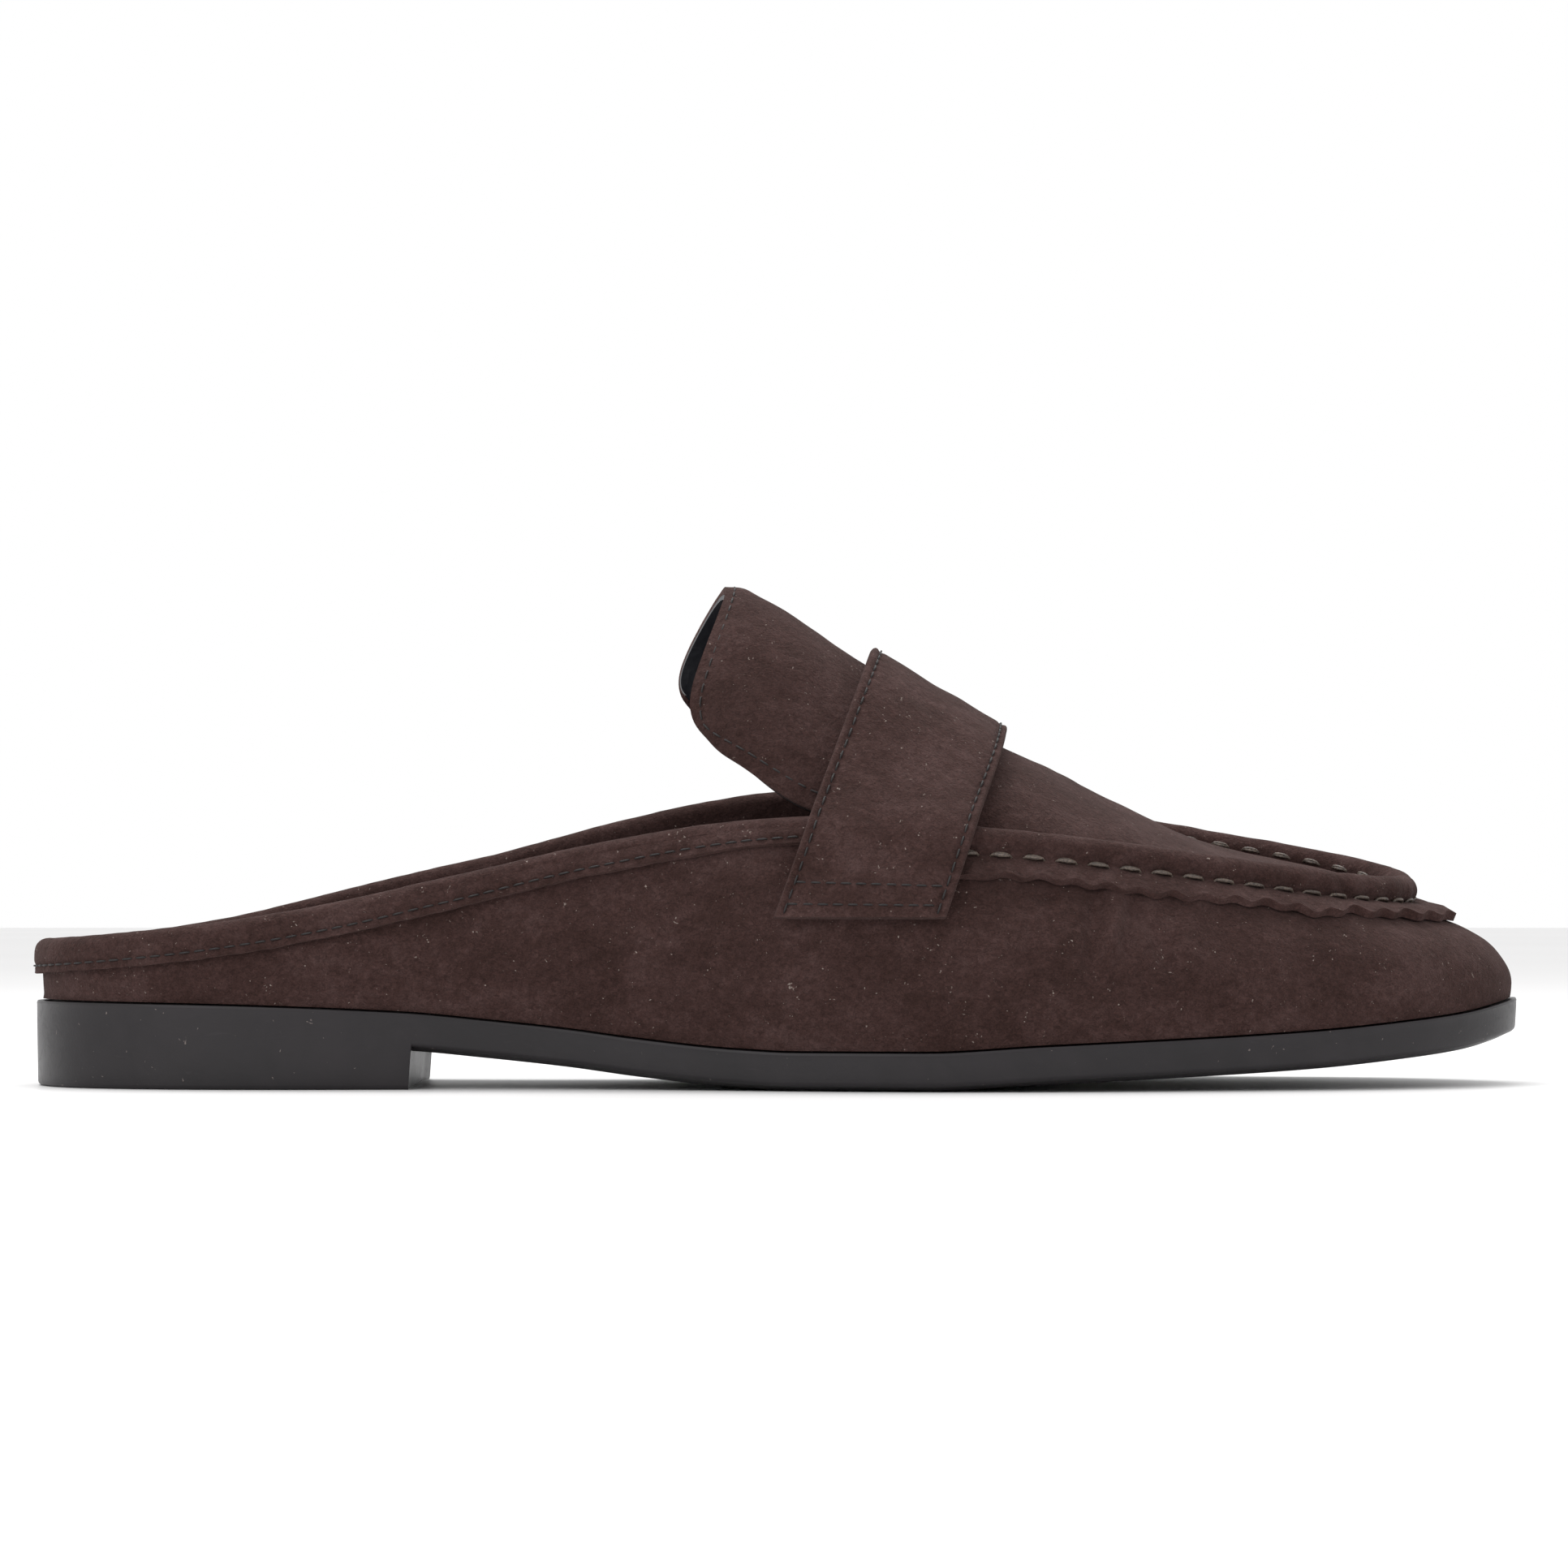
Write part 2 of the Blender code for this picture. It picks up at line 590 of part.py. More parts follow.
def rib_rows():
    """Positions along the rib table: RIB_STEPS to a row, then closer and closer to the toe."""
    steps = (len(RIBS) - 1) * RIB_STEPS
    rows = np.linspace(0, len(RIBS) - 1, steps + 1)
    knots = np.arange(len(RIBS))
    columns = {name: eased(knots, [getattr(row, name) for row in RIBS], rows)
               for name in Rib._fields}
    end = (SEAT[:, 0].max() - HEEL_BACK_X) / SOLE_LENGTH
    last = columns["along"][-1]
    turn = np.linspace(0, math.pi / 2, RIB_TOE_STEPS + 1)[1:]
    ahead = last + (end - last) * np.sin(turn)
    ahead[-1] = end - RIB_END_CLEARANCE
    ribs = []
    for i in range(len(rows)):
        ribs.append({name: columns[name][i] for name in Rib._fields})
    for along in ahead:
        rib = {name: columns[name][-1] for name in Rib._fields}
        rib["along"] = along
        ribs.append(rib)
    return ribs


def apron_point(rib, v):
    """Outer face of the apron and tongue; v runs from -1 on the outer to 1 on the inner side."""
    foot_x = at_length(rib["along"]) + rib["swing"] * SOLE_LENGTH
    outer_foot = seat_at(foot_x, False)
    inner_foot = seat_at(foot_x, True)
    outer_foot += (0, rib["draw"] * BALL_WIDTH, rib["lift"] * BALL_WIDTH)
    inner_foot += (0, -rib["draw"] * BALL_WIDTH, rib["lift_in"] * BALL_WIDTH)
    bend = rib["arch"] * math.pi / 2
    sideways = math.sin(v * bend) / math.sin(bend)
    high = (math.cos(v * bend) - math.cos(bend)) / (1 - math.cos(bend))
    low = 1 - high
    level = outer_foot + (inner_foot - outer_foot) * (sideways + 1) / 2
    shift = rib["swing"] * low + rib["tuck"] * low ** TUCK_POWER - rib["skew"] * v
    x = at_length(rib["along"]) + shift * SOLE_LENGTH
    return np.array((x, level[1], level[2] + rib["crown"] * INSTEP_CROWN * high))


def grid_normals(grid):
    """Unit normals of a grid of points, outward when rows run to the toe and columns inward."""
    along = np.gradient(grid, axis=0)
    across = np.gradient(grid, axis=1)
    normal = np.cross(along, across)
    return normal / np.linalg.norm(normal, axis=-1)[..., None]


def build_apron_tongue():
    """Apron between the rolls, running up under the strap into the tongue."""
    across = np.linspace(-1, 1, APRON_ACROSS + 1)
    outer = np.array([[apron_point(rib, v) for v in across] for rib in rib_rows()])
    inner = outer - grid_normals(outer) * APRON_THICKNESS
    bm = bmesh.new()
    plate(bm, outer, inner)
    finish = material("apron_suede", (0.062, 0.036, 0.034), 0.92)
    return add_object("apron_tongue", bm, finish, SHARP_LEATHER)


def tree_of(objects):
    """One search tree over the faces of several objects."""
    points = []
    faces = []
    for each in objects:
        start = len(points)
        points += [vertex.co.copy() for vertex in each.data.vertices]
        faces += [[start + i for i in face.vertices] for face in each.data.polygons]
    return BVHTree.FromPolygons(points, faces)


def taut(points):
    """The upper convex hull of points in a plane, from the first to the last."""
    hull = []
    for point in points:
        while len(hull) > 1:
            a, b = hull[-2], hull[-1]
            turn = (b[0] - a[0]) * (point[1] - a[1]) - (b[1] - a[1]) * (point[0] - a[0])
            if turn < 0:
                break
            hull.pop()
        hull.append(point)
    return np.array(hull)


def strap_line(tree, share, count):
    """Inner face of the strap in one leaning plane, pulled taut over what lies under it."""
    lean_length = math.hypot(1, STRAP_LEAN)
    foot_x = at_length(STRAP_FOOT_SHARE) + (share - 0.5) * STRAP_WIDTH * lean_length
    foot_z = float(sole_top(foot_x)) + STRAP_END_OUTER
    far_z = float(sole_top(foot_x)) + STRAP_END_INNER
    reach = BALL_WIDTH
    found = []
    for angle in np.linspace(math.pi, 0, STRAP_RAYS):
        start_z = foot_z + (far_z - foot_z) * (math.cos(angle) + 1) / 2
        aim = np.array((STRAP_LEAN * math.sin(angle), math.cos(angle), math.sin(angle)))
        hub = np.array((foot_x + STRAP_LEAN * (start_z - foot_z), 0.0, start_z))
        length = np.linalg.norm(aim)
        start = hub + aim * reach
        stands = []
        for beside in (-1, 0, 1):
            shifted = start + np.array((beside * STRAP_WIDTH / STRAP_ACROSS / 2, 0, 0))
            travel = tree.ray_cast(Vector(shifted), Vector(-aim))[3]
            if travel is not None:
                stands.append(reach * length - travel)
        if not stands or max(stands) < WAIST_WIDTH / 4:
            continue
        point = hub + aim / length * (max(stands) + STRAP_GAP)
        found.append((point[1], point[2]))
    hull = taut(found)
    run = np.append(0, np.cumsum(np.linalg.norm(np.diff(hull, axis=0), axis=1)))
    places = np.linspace(0, run[-1], (count - 1) * STRAP_FINE + 1)
    line = np.column_stack([np.interp(places, run, hull[:, k]) for k in range(2)])
    for _ in range(STRAP_FINE):
        line[1:-1] = (line[:-2] + 2 * line[1:-1] + line[2:]) / 4
    line = line[::STRAP_FINE]
    x = foot_x + STRAP_LEAN * (line[:, 1] - foot_z)
    return np.column_stack([x, line])


def build_saddle_strap(under):
    """Wide strap over the apron, its ends sewn down on the upper's sides."""
    tree = tree_of(under)
    shares = np.linspace(0, 1, STRAP_ACROSS + 1)
    inner = np.array([strap_line(tree, share, STRAP_ALONG + 1) for share in shares])
    outer = inner + grid_normals(inner) * STRAP_THICKNESS
    bm = bmesh.new()
    plate(bm, outer, inner)
    finish = material("strap_suede", (0.072, 0.045, 0.044), 0.92)
    return add_object("saddle_strap", bm, finish, SHARP_LEATHER)


def main():
    """Clear the scene and build the shoe."""
    for old in list(bpy.data.objects):
        bpy.data.objects.remove(old, do_unlink=True)
    build_outsole()
    build_insole()
    upper = build_upper()
    binding = build_collar_binding()
    roll = build_moc_seam_roll()
    apron = build_apron_tongue()
    build_saddle_strap([upper, binding, roll, apron])


main()
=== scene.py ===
"""Looks of the right loafer mule: suede upper, apron, roll, strap and tongue on a satin sole."""
import math
from collections import namedtuple

import bpy
import numpy as np
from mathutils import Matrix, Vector
from mathutils.bvhtree import BVHTree


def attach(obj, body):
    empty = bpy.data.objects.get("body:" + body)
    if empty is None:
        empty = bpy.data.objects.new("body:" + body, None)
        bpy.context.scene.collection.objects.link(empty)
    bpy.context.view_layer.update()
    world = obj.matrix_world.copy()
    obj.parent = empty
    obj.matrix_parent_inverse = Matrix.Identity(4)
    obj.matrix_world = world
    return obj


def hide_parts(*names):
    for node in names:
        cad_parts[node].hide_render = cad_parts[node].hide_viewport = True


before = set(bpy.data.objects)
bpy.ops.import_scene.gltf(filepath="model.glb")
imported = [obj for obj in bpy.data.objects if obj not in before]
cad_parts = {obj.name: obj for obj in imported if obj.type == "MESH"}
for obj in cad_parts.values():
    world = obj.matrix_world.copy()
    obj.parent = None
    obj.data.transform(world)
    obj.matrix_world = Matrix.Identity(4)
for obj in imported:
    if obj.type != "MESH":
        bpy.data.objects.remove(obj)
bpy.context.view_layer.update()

# The shoe's own sizes, as in the model
SOLE_LENGTH = 0.256
BALL_WIDTH = 0.084
WAIST_WIDTH = 0.056
HEEL_WIDTH = 0.058
HEEL_HEIGHT = 0.0146
HEEL_LENGTH = 0.066
SOLE_THICKNESS = 0.0064
TOE_SPRING = 0.0086
EDGE_LIFT = 0.0008
EDGE_SHELF = 0.006
TOP_BEVEL = 0.0005
FOOT_ROUND = 0.0008
BREAST_SLANT = 0.0005
WALL = 0.0018
GAP = 0.0003
FEATHER_INSET = 0.0011
COLLAR_RISE = 0.0433
INSTEP_CROWN = 0.0262
APRON_THICKNESS = 0.0022
APRON_SINK = 0.0030
ROLL_RADIUS = 0.0023
FLANGE_LENGTH = 0.0052
FLANGE_THICKNESS = 0.0013
BINDING_LENGTH = 0.0038
BINDING_INNER_LENGTH = 0.0036
BINDING_THICKNESS = 0.0010
COLLAR_OVERHANG = 0.0005
STRAP_WIDTH = 0.028
STRAP_THICKNESS = 0.0019
STRAP_LEAN = 0.352
STRAP_GAP = 0.00055
STRAP_END_OUTER = 0.0216
STRAP_END_INNER = 0.0256
INSOLE_THICKNESS = 0.0030
INSOLE_INSET = 0.0042
STRAP_FOOT_SHARE = 0.552
BINDING_END_SHARE = 0.568
ROLL_START_SHARE = 0.582
DENSE = 1440
SOFT_REACH = DENSE // 40
TUCK_POWER = 6
RIB_END_CLEARANCE = 0.0004
SUEDE_DEPTH = 0.0013
LINING_LAST_RIB = 6

# Samples of the wall's height: round the shoe, and from the feather line to the top
HEIGHT_PLACES = 241
HEIGHT_STEPS = 13

# Stitches: lengths in metres, and the share of a fine pitch that the thread shows
STITCH_PITCH = 0.00555
BINDING_PITCH = 0.0026
FINE_PITCH = 0.0025
FINE_SHARE = 0.76
BINDING_SEAM_INSET = 0.0013
STRAP_SEAM_INSET = 0.0021
THREAD_SINK = 0.00002

# Camera: place and lens, and how far the photograph's middle lies above the level sight line,
# with the focal length, both in the photograph's pixels
CAMERA_PLACE = (0.0011, -0.904, 0.031)
LENS = 120
SENSOR = 36
SIGHT_RISE = 148.3
FOCAL_PIXELS = 6440
FLOOR_HALF = 6.0
FLOOR_DROP = 0.00002

# One row for each place round the shoe, from the heel back along the outer side to the toe and
# home along the inner side. along is a share of the sole's length, out a share of the width,
# inset and belly shares of the ball width, rise a share of the collar rise, turn in degrees.
Station = namedtuple("Station", "along width out inset rise turn belly")
STATIONS = (
    Station(0.000, HEEL_WIDTH, 0.000, 0.021, 0.245, 8, 0.000),
    Station(0.027, HEEL_WIDTH, -0.321, 0.021, 0.256, 10, 0.002),
    Station(0.109, HEEL_WIDTH, -0.500, 0.022, 0.304, 16, 0.006),
    Station(0.258, HEEL_WIDTH, -0.503, 0.026, 0.495, 24, 0.014),
    Station(0.391, WAIST_WIDTH, -0.554, 0.040, 0.760, 36, 0.024),
    Station(0.484, BALL_WIDTH, -0.437, 0.074, 0.896, 48, 0.021),
    Station(0.586, BALL_WIDTH, -0.500, 0.113, 0.888, 58, 0.014),
    Station(0.780, BALL_WIDTH, -0.446, 0.142, 0.722, 66, 0.008),
    Station(0.937, BALL_WIDTH, -0.256, 0.192, 0.580, 73, 0.012),
    Station(1.000, BALL_WIDTH, 0.060, 0.233, 0.566, 72, 0.015),
    Station(0.947, BALL_WIDTH, 0.360, 0.192, 0.632, 73, 0.012),
    Station(0.827, BALL_WIDTH, 0.488, 0.155, 0.786, 68, 0.008),
    Station(0.664, BALL_WIDTH, 0.498, 0.140, 0.974, 60, 0.014),
    Station(0.469, WAIST_WIDTH, 0.490, 0.020, 1.000, 38, 0.024),
    Station(0.313, WAIST_WIDTH, 0.432, -0.012, 0.674, 26, 0.020),
    Station(0.215, HEEL_WIDTH, 0.481, 0.005, 0.495, 21, 0.013),
    Station(0.117, HEEL_WIDTH, 0.497, 0.022, 0.337, 16, 0.006),
    Station(0.027, HEEL_WIDTH, 0.321, 0.021, 0.258, 10, 0.002),
)

# Height of the sole's top edge along the shoe
Profile = namedtuple("Profile", "along heel spring")
PROFILE = (
    Profile(0.000, 1.000, 0.000),
    Profile(0.129, 0.935, 0.000),
    Profile(0.254, 0.780, 0.000),
    Profile(0.305, 0.634, 0.000),
    Profile(0.363, 0.440, 0.000),
    Profile(0.406, 0.260, 0.000),
    Profile(0.469, 0.060, 0.000),
    Profile(0.512, 0.000, 0.000),
    Profile(0.594, 0.000, 0.000),
    Profile(0.668, 0.000, 0.116),
    Profile(0.785, 0.000, 0.280),
    Profile(0.855, 0.000, 0.407),
    Profile(0.910, 0.000, 0.560),
    Profile(0.953, 0.000, 0.710),
    Profile(1.000, 0.000, 1.000),
)

# Ribs of the apron and tongue, from the tongue's free end to the toe
Rib = namedtuple("Rib", "along swing skew tuck crown lift lift_in draw arch")
RIBS = (
    Rib(0.4640, -0.0425, 0.0059, 0.0223, 0.882, 0.232, 0.248, 0.062, 0.86),
    Rib(0.4805, -0.0385, 0.0053, 0.0145, 1.005, 0.186, 0.176, 0.036, 0.86),
    Rib(0.5020, -0.0359, 0.0040, 0.0090, 1.040, 0.140, 0.111, 0.014, 0.86),
    Rib(0.5550, -0.0391, 0.0015, 0.0000, 0.873, 0.055, 0.050, 0.003, 0.86),
    Rib(0.6020, -0.0293, 0.0000, 0.0000, 0.762, 0.000, 0.000, 0.000, 0.86),
    Rib(0.6500, -0.0195, 0.0000, 0.0000, 0.533, 0.000, 0.000, 0.000, 0.84),
    Rib(0.6970, -0.0117, 0.0000, 0.0000, 0.366, 0.000, 0.000, 0.000, 0.80),
    Rib(0.7500, -0.0039, 0.0000, 0.0000, 0.200, 0.000, 0.000, 0.000, 0.74),
    Rib(0.7970, 0.0000, 0.0000, 0.0000, 0.080, 0.000, 0.000, 0.000, 0.66),
    Rib(0.8440, 0.0000, 0.0000, 0.0000, 0.035, 0.000, 0.000, 0.000, 0.60),
    Rib(0.8910, 0.0000, 0.0000, 0.0000, 0.020, 0.000, 0.000, 0.000, 0.60),
)

# Walking creases of the forepart: place along the shoe, foot and head as heights in metres,
# half width, depth (a negative depth is a ridge), and how far the head leans to the toe
Crease = namedtuple("Crease", "along low high half depth lean")
CREASES = (
    Crease(0.704, 0.0195, 0.0335, 0.0017, 0.00125, 0.0006),
    Crease(0.717, 0.0235, 0.0330, 0.0014, -0.00055, 0.0004),
    Crease(0.729, 0.0235, 0.0325, 0.0014, 0.00110, 0.0010),
    Crease(0.748, 0.0185, 0.0290, 0.0019, 0.00095, -0.0026),
    Crease(0.768, 0.0235, 0.0330, 0.0024, -0.00060, 0.0014),
    Crease(0.660, 0.0165, 0.0265, 0.0026, 0.00055, 0.0010),
    Crease(0.675, 0.0290, 0.0350, 0.0013, 0.00050, 0.0000),
    Crease(0.800, 0.0170, 0.0280, 0.0040, 0.00035, -0.0030),
)

HEEL_BACK_X = (COLLAR_OVERHANG - SOLE_LENGTH) / 2
UP = np.array((0.0, 0.0, 1.0))


def at_length(share):
    """World X of a place given as a share of the sole's length."""
    return HEEL_BACK_X + share * SOLE_LENGTH


def eased(knots, values, places):
    """Smooth curve through rows that never swings past them, and is flat between equal rows."""
    knots = np.asarray(knots, float)
    values = np.asarray(values, float)
    places = np.clip(np.asarray(places, float), knots[0], knots[-1])
    step = np.diff(knots)
    slope = np.diff(values) / step
    tangent = np.zeros(len(values))
    tangent[0] = slope[0]
    tangent[-1] = slope[-1]
    for row in range(1, len(values) - 1):
        before, after = slope[row - 1], slope[row]
        if before * after > 0:
            tangent[row] = 2 * before * after / (before + after)
    cell = np.clip(np.searchsorted(knots, places, side="right") - 1, 0, len(step) - 1)
    t = (places - knots[cell]) / step[cell]
    rise = 3 * t ** 2 - 2 * t ** 3
    bend = tangent[cell] * (t ** 3 - 2 * t ** 2 + t) + tangent[cell + 1] * (t ** 3 - t ** 2)
    return values[cell] + rise * (values[cell + 1] - values[cell]) + bend * step[cell]


def closed_spline(knots, values, places):
    """Periodic cubic spline; knots has one more entry than values, the closing one."""
    count = len(values)
    step = np.diff(knots)
    follow = np.roll(values, -1)
    slope = (follow - values) / step
    matrix = np.zeros((count, count))
    for row in range(count):
        matrix[row, row - 1] += step[row - 1]
        matrix[row, row] += 2 * (step[row - 1] + step[row])
        matrix[row, (row + 1) % count] += step[row]
    curve = np.linalg.solve(matrix, 6 * (slope - np.roll(slope, 1)))
    cell = np.clip(np.searchsorted(knots, places, side="right") - 1, 0, count - 1)
    h = step[cell]
    b = (places - knots[cell]) / h
    a = 1 - b
    straight = a * values[cell] + b * follow[cell]
    bow = (a ** 3 - a) * curve[cell] + (b ** 3 - b) * np.roll(curve, -1)[cell]
    return straight + bow * h ** 2 / 6


def unit(vectors):
    """Vectors scaled to a length of 1."""
    return vectors / np.linalg.norm(vectors, axis=-1, keepdims=True)


def inward(points):
    """Unit normals that point into a closed plan curve running outer side first."""
    along = unit(np.roll(points, -1, axis=0) - np.roll(points, 1, axis=0))
    return np.stack([-along[:, 1], along[:, 0]], axis=1)


def softened(directions):
    """Unit vectors round a closed curve, each averaged with those SOFT_REACH places to its sides."""
    return unit(sum(np.roll(directions, k, axis=0) for k in range(-SOFT_REACH, SOFT_REACH + 1)))


def sole_top(x):
    """Height of the sole's top edge at a world X."""
    share = (np.asarray(x) - HEEL_BACK_X) / SOLE_LENGTH
    along = [row.along for row in PROFILE]
    heel = eased(along, [row.heel for row in PROFILE], share)
    spring = eased(along, [row.spring for row in PROFILE], share)
    return SOLE_THICKNESS + heel * (HEEL_HEIGHT - SOLE_THICKNESS) + spring * TOE_SPRING


def survey():
    """The shoe's outline, feather line and rim, sampled closely round the shoe."""
    points = np.array([(at_length(row.along), row.out * row.width) for row in STATIONS])
    chord = np.linalg.norm(np.roll(points, -1, axis=0) - points, axis=1)
    knots = np.concatenate([[0.0], np.cumsum(chord)])
    places = np.linspace(0, knots[-1], DENSE, endpoint=False)

    def column(values):
        return closed_spline(knots, np.array(values, float), places)

    outline = np.stack([column(points[:, 0]), column(points[:, 1])], axis=1)
    into = inward(outline)
    inset = column([row.inset for row in STATIONS]) * BALL_WIDTH
    rim = outline + softened(into) * inset[:, None]
    rise = column([row.rise for row in STATIONS]) * COLLAR_RISE
    return {
        "outline": outline,
        "into": into,
        "feather": outline + into * FEATHER_INSET,
        "rim": rim,
        "rim_out": -inward(rim),
        "crest": sole_top(rim[:, 0]) + rise,
        "turn": np.radians(column([row.turn for row in STATIONS])),
        "belly": column([row.belly for row in STATIONS]) * BALL_WIDTH,
    }


SURVEY = survey()


def look_up(name, u):
    """A surveyed value at perimeter places u, which run from 0 to 1 round the shoe."""
    table = SURVEY[name]
    place = (np.asarray(u, float) % 1.0) * DENSE
    low = np.floor(place).astype(int) % DENSE
    part = place - np.floor(place)
    if table.ndim == 2:
        part = part[..., None]
    return table[low] * (1 - part) + table[(low + 1) % DENSE] * part


def smooth_step(value, low, high):
    """0 below low, 1 above high, eased between."""
    t = np.clip((value - low) / (high - low), 0, 1)
    return t * t * (3 - 2 * t)


def rim_outward(u):
    """Level vectors that point out of the rim at perimeter places u."""
    return np.column_stack([look_up("rim_out", u), np.zeros(len(u))])


def wall_top(u):
    """Outer top edge of the upper's wall: under the binding's fold, then under the roll."""
    rim = look_up("rim", u)
    out = look_up("rim_out", u)
    share = smooth_step(rim[..., 0], at_length(BINDING_END_SHARE), at_length(ROLL_START_SHARE))
    under_fold = WALL / 2 + GAP + BINDING_THICKNESS
    under_roll = 2 * ROLL_RADIUS + GAP + FLANGE_THICKNESS * (1 - np.cos(look_up("turn", u)))
    drop = under_fold + share * (under_roll - under_fold)
    plan = rim + out * (WALL / 2)
    return np.concatenate([plan, (look_up("crest", u) - drop)[..., None]], axis=-1)


def wall_skin(u, t):
    """Outer face of the upper at perimeter place u and height share t."""
    feather = look_up("feather", u)
    foot = np.concatenate([feather, (sole_top(feather[..., 0]) + GAP)[..., None]], axis=-1)
    top = wall_top(u)
    turn = look_up("turn", u)
    angle = t * turn
    across = (1 - np.cos(angle)) / (1 - np.cos(turn))
    up = np.sin(angle) / np.sin(turn)
    share = np.stack([across, across, up], axis=-1)
    swell = look_up("belly", u) * np.sin(np.pi * t)
    skin = foot + (top - foot) * share
    skin[..., :2] -= look_up("into", u) * swell[..., None]
    return skin


def wall_frame(u, t):
    """Point and outward normal of the wall's outer face at places u and height shares t."""
    u, t = np.broadcast_arrays(np.asarray(u, float), np.asarray(t, float))
    step_u = 1.0 / 720
    step_t = 0.01
    around = wall_skin(u + step_u, t) - wall_skin(u - step_u, t)
    upward = wall_skin(u, np.clip(t + step_t, 0, 1)) - wall_skin(u, np.clip(t - step_t, 0, 1))
    return wall_skin(u, t), unit(np.cross(around, upward))


def wall_heights():
    """Length of the wall's outer face from feather to top, sampled round the shoe."""
    u, t = np.meshgrid(np.linspace(0, 1, HEIGHT_PLACES), np.linspace(0, 1, HEIGHT_STEPS), indexing="ij")
    return np.sum(np.linalg.norm(np.diff(wall_skin(u, t), axis=1), axis=2), axis=1)


HEIGHTS = wall_heights()


def height_share(u, below_top):
    """Height share of a place a given length under the wall's top edge."""
    tall = np.interp(np.asarray(u) % 1.0, np.linspace(0, 1, HEIGHT_PLACES), HEIGHTS)
    return 1 - below_top / tall


def off_wall(u, below_top, proud):
    """Line a length under the wall's top edge, standing proud of its outer face."""
    point, normal = wall_frame(u, height_share(u, below_top))
    return point + normal * np.reshape(proud, (-1, 1))


def run_length(points):
    """Distance along a line of points, from 0."""
    return np.append(0, np.cumsum(np.linalg.norm(np.diff(points, axis=0), axis=1)))


def sides_of(line_x):
    """Sample numbers from heel to toe along the outer side, and the same along the inner side."""
    toe = int(np.argmax(line_x))
    heel = int(np.argmin(line_x))
    heel_turn = heel - DENSE if heel > toe else heel
    return np.arange(heel_turn, toe + 1), np.arange(heel_turn + DENSE, toe - 1, -1)


def places_between(start_x, steps, through_toe):
    """Perimeter places of the rim from start_x on one side to start_x on the other."""
    rim_x = SURVEY["rim"][:, 0]
    outer_side, inner_side = sides_of(rim_x)
    first = np.interp(start_x, rim_x[outer_side % DENSE], outer_side) / DENSE
    last = np.interp(start_x, rim_x[inner_side % DENSE], inner_side) / DENSE
    if not through_toe:
        first, last = last, first + 1
    return np.linspace(first, last, steps + 1)


def waves(points, size, seed, count=14):
    """Smooth seeded unevenness of about unit height, with hills of the given size in metres."""
    rng = np.random.default_rng(seed)
    total = np.zeros(points.shape[:-1])
    for _ in range(count):
        aim = rng.normal(size=3)
        aim *= rng.uniform(0.6, 1.5) * 2 * np.pi / size / np.linalg.norm(aim)
        total += np.sin(points @ aim + rng.uniform(0, 2 * np.pi))
    return total * math.sqrt(2.0 / count) / 1.6


# Mesh building


def make_piece(name, verts, faces, finishes, face_finish=None, sharp=60):
    """Object from arrays of points and faces, smooth, with its materials."""
    mesh = bpy.data.meshes.new(name)
    mesh.from_pydata(np.asarray(verts).reshape(-1, 3).tolist(), [], faces)
    for finish in finishes:
        mesh.materials.append(finish)
    if face_finish is not None:
        mesh.polygons.foreach_set("material_index", np.asarray(face_finish, dtype=np.int32))
    mesh.update()
    mesh.shade_smooth()
    mesh.set_sharp_from_angle(angle=math.radians(sharp))
    made = bpy.data.objects.new(name, mesh)
    bpy.context.scene.collection.objects.link(made)
    return made


def grid_faces(rows, columns, closed_rows, closed_columns, start=0, flip=False):
    """Quads of a grid of points numbered row by row."""
    r = np.arange(rows if closed_rows else rows - 1)
    c = np.arange(columns if closed_columns else columns - 1)
    r, c = np.meshgrid(r, c, indexing="ij")
    r2 = (r + 1) % rows
    c2 = (c + 1) % columns
    quads = np.stack([r * columns + c, r2 * columns + c, r2 * columns + c2, r * columns + c2], -1)
    quads = quads.reshape(-1, 4) + start
    if flip:
        quads = quads[:, ::-1]
    return quads.tolist()


def loft(name, rings, closed, finishes, ring_finish=None):
    """Object from an array of closed rings, rows by points by 3, capped when it is not closed."""
    rows, columns = rings.shape[:2]
    faces = grid_faces(rows, columns, closed, True)
    index = None
    if ring_finish is not None:
        index = list(np.tile(ring_finish, rows if closed else rows - 1))
    if not closed:
        first = list(range(columns))
        last = list(range((rows - 1) * columns, rows * columns))
        faces += [first, last[::-1]]
        if index is not None:
            index += [0, 0]
    return make_piece(name, rings, faces, finishes, index)


def settle(piece, slot, *nodes):
    """Ride on the shoe's one body and stand for CAD nodes; the slot argument is not used."""
    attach(piece, "root")
    if nodes:
        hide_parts(*nodes)
    return piece


# Materials


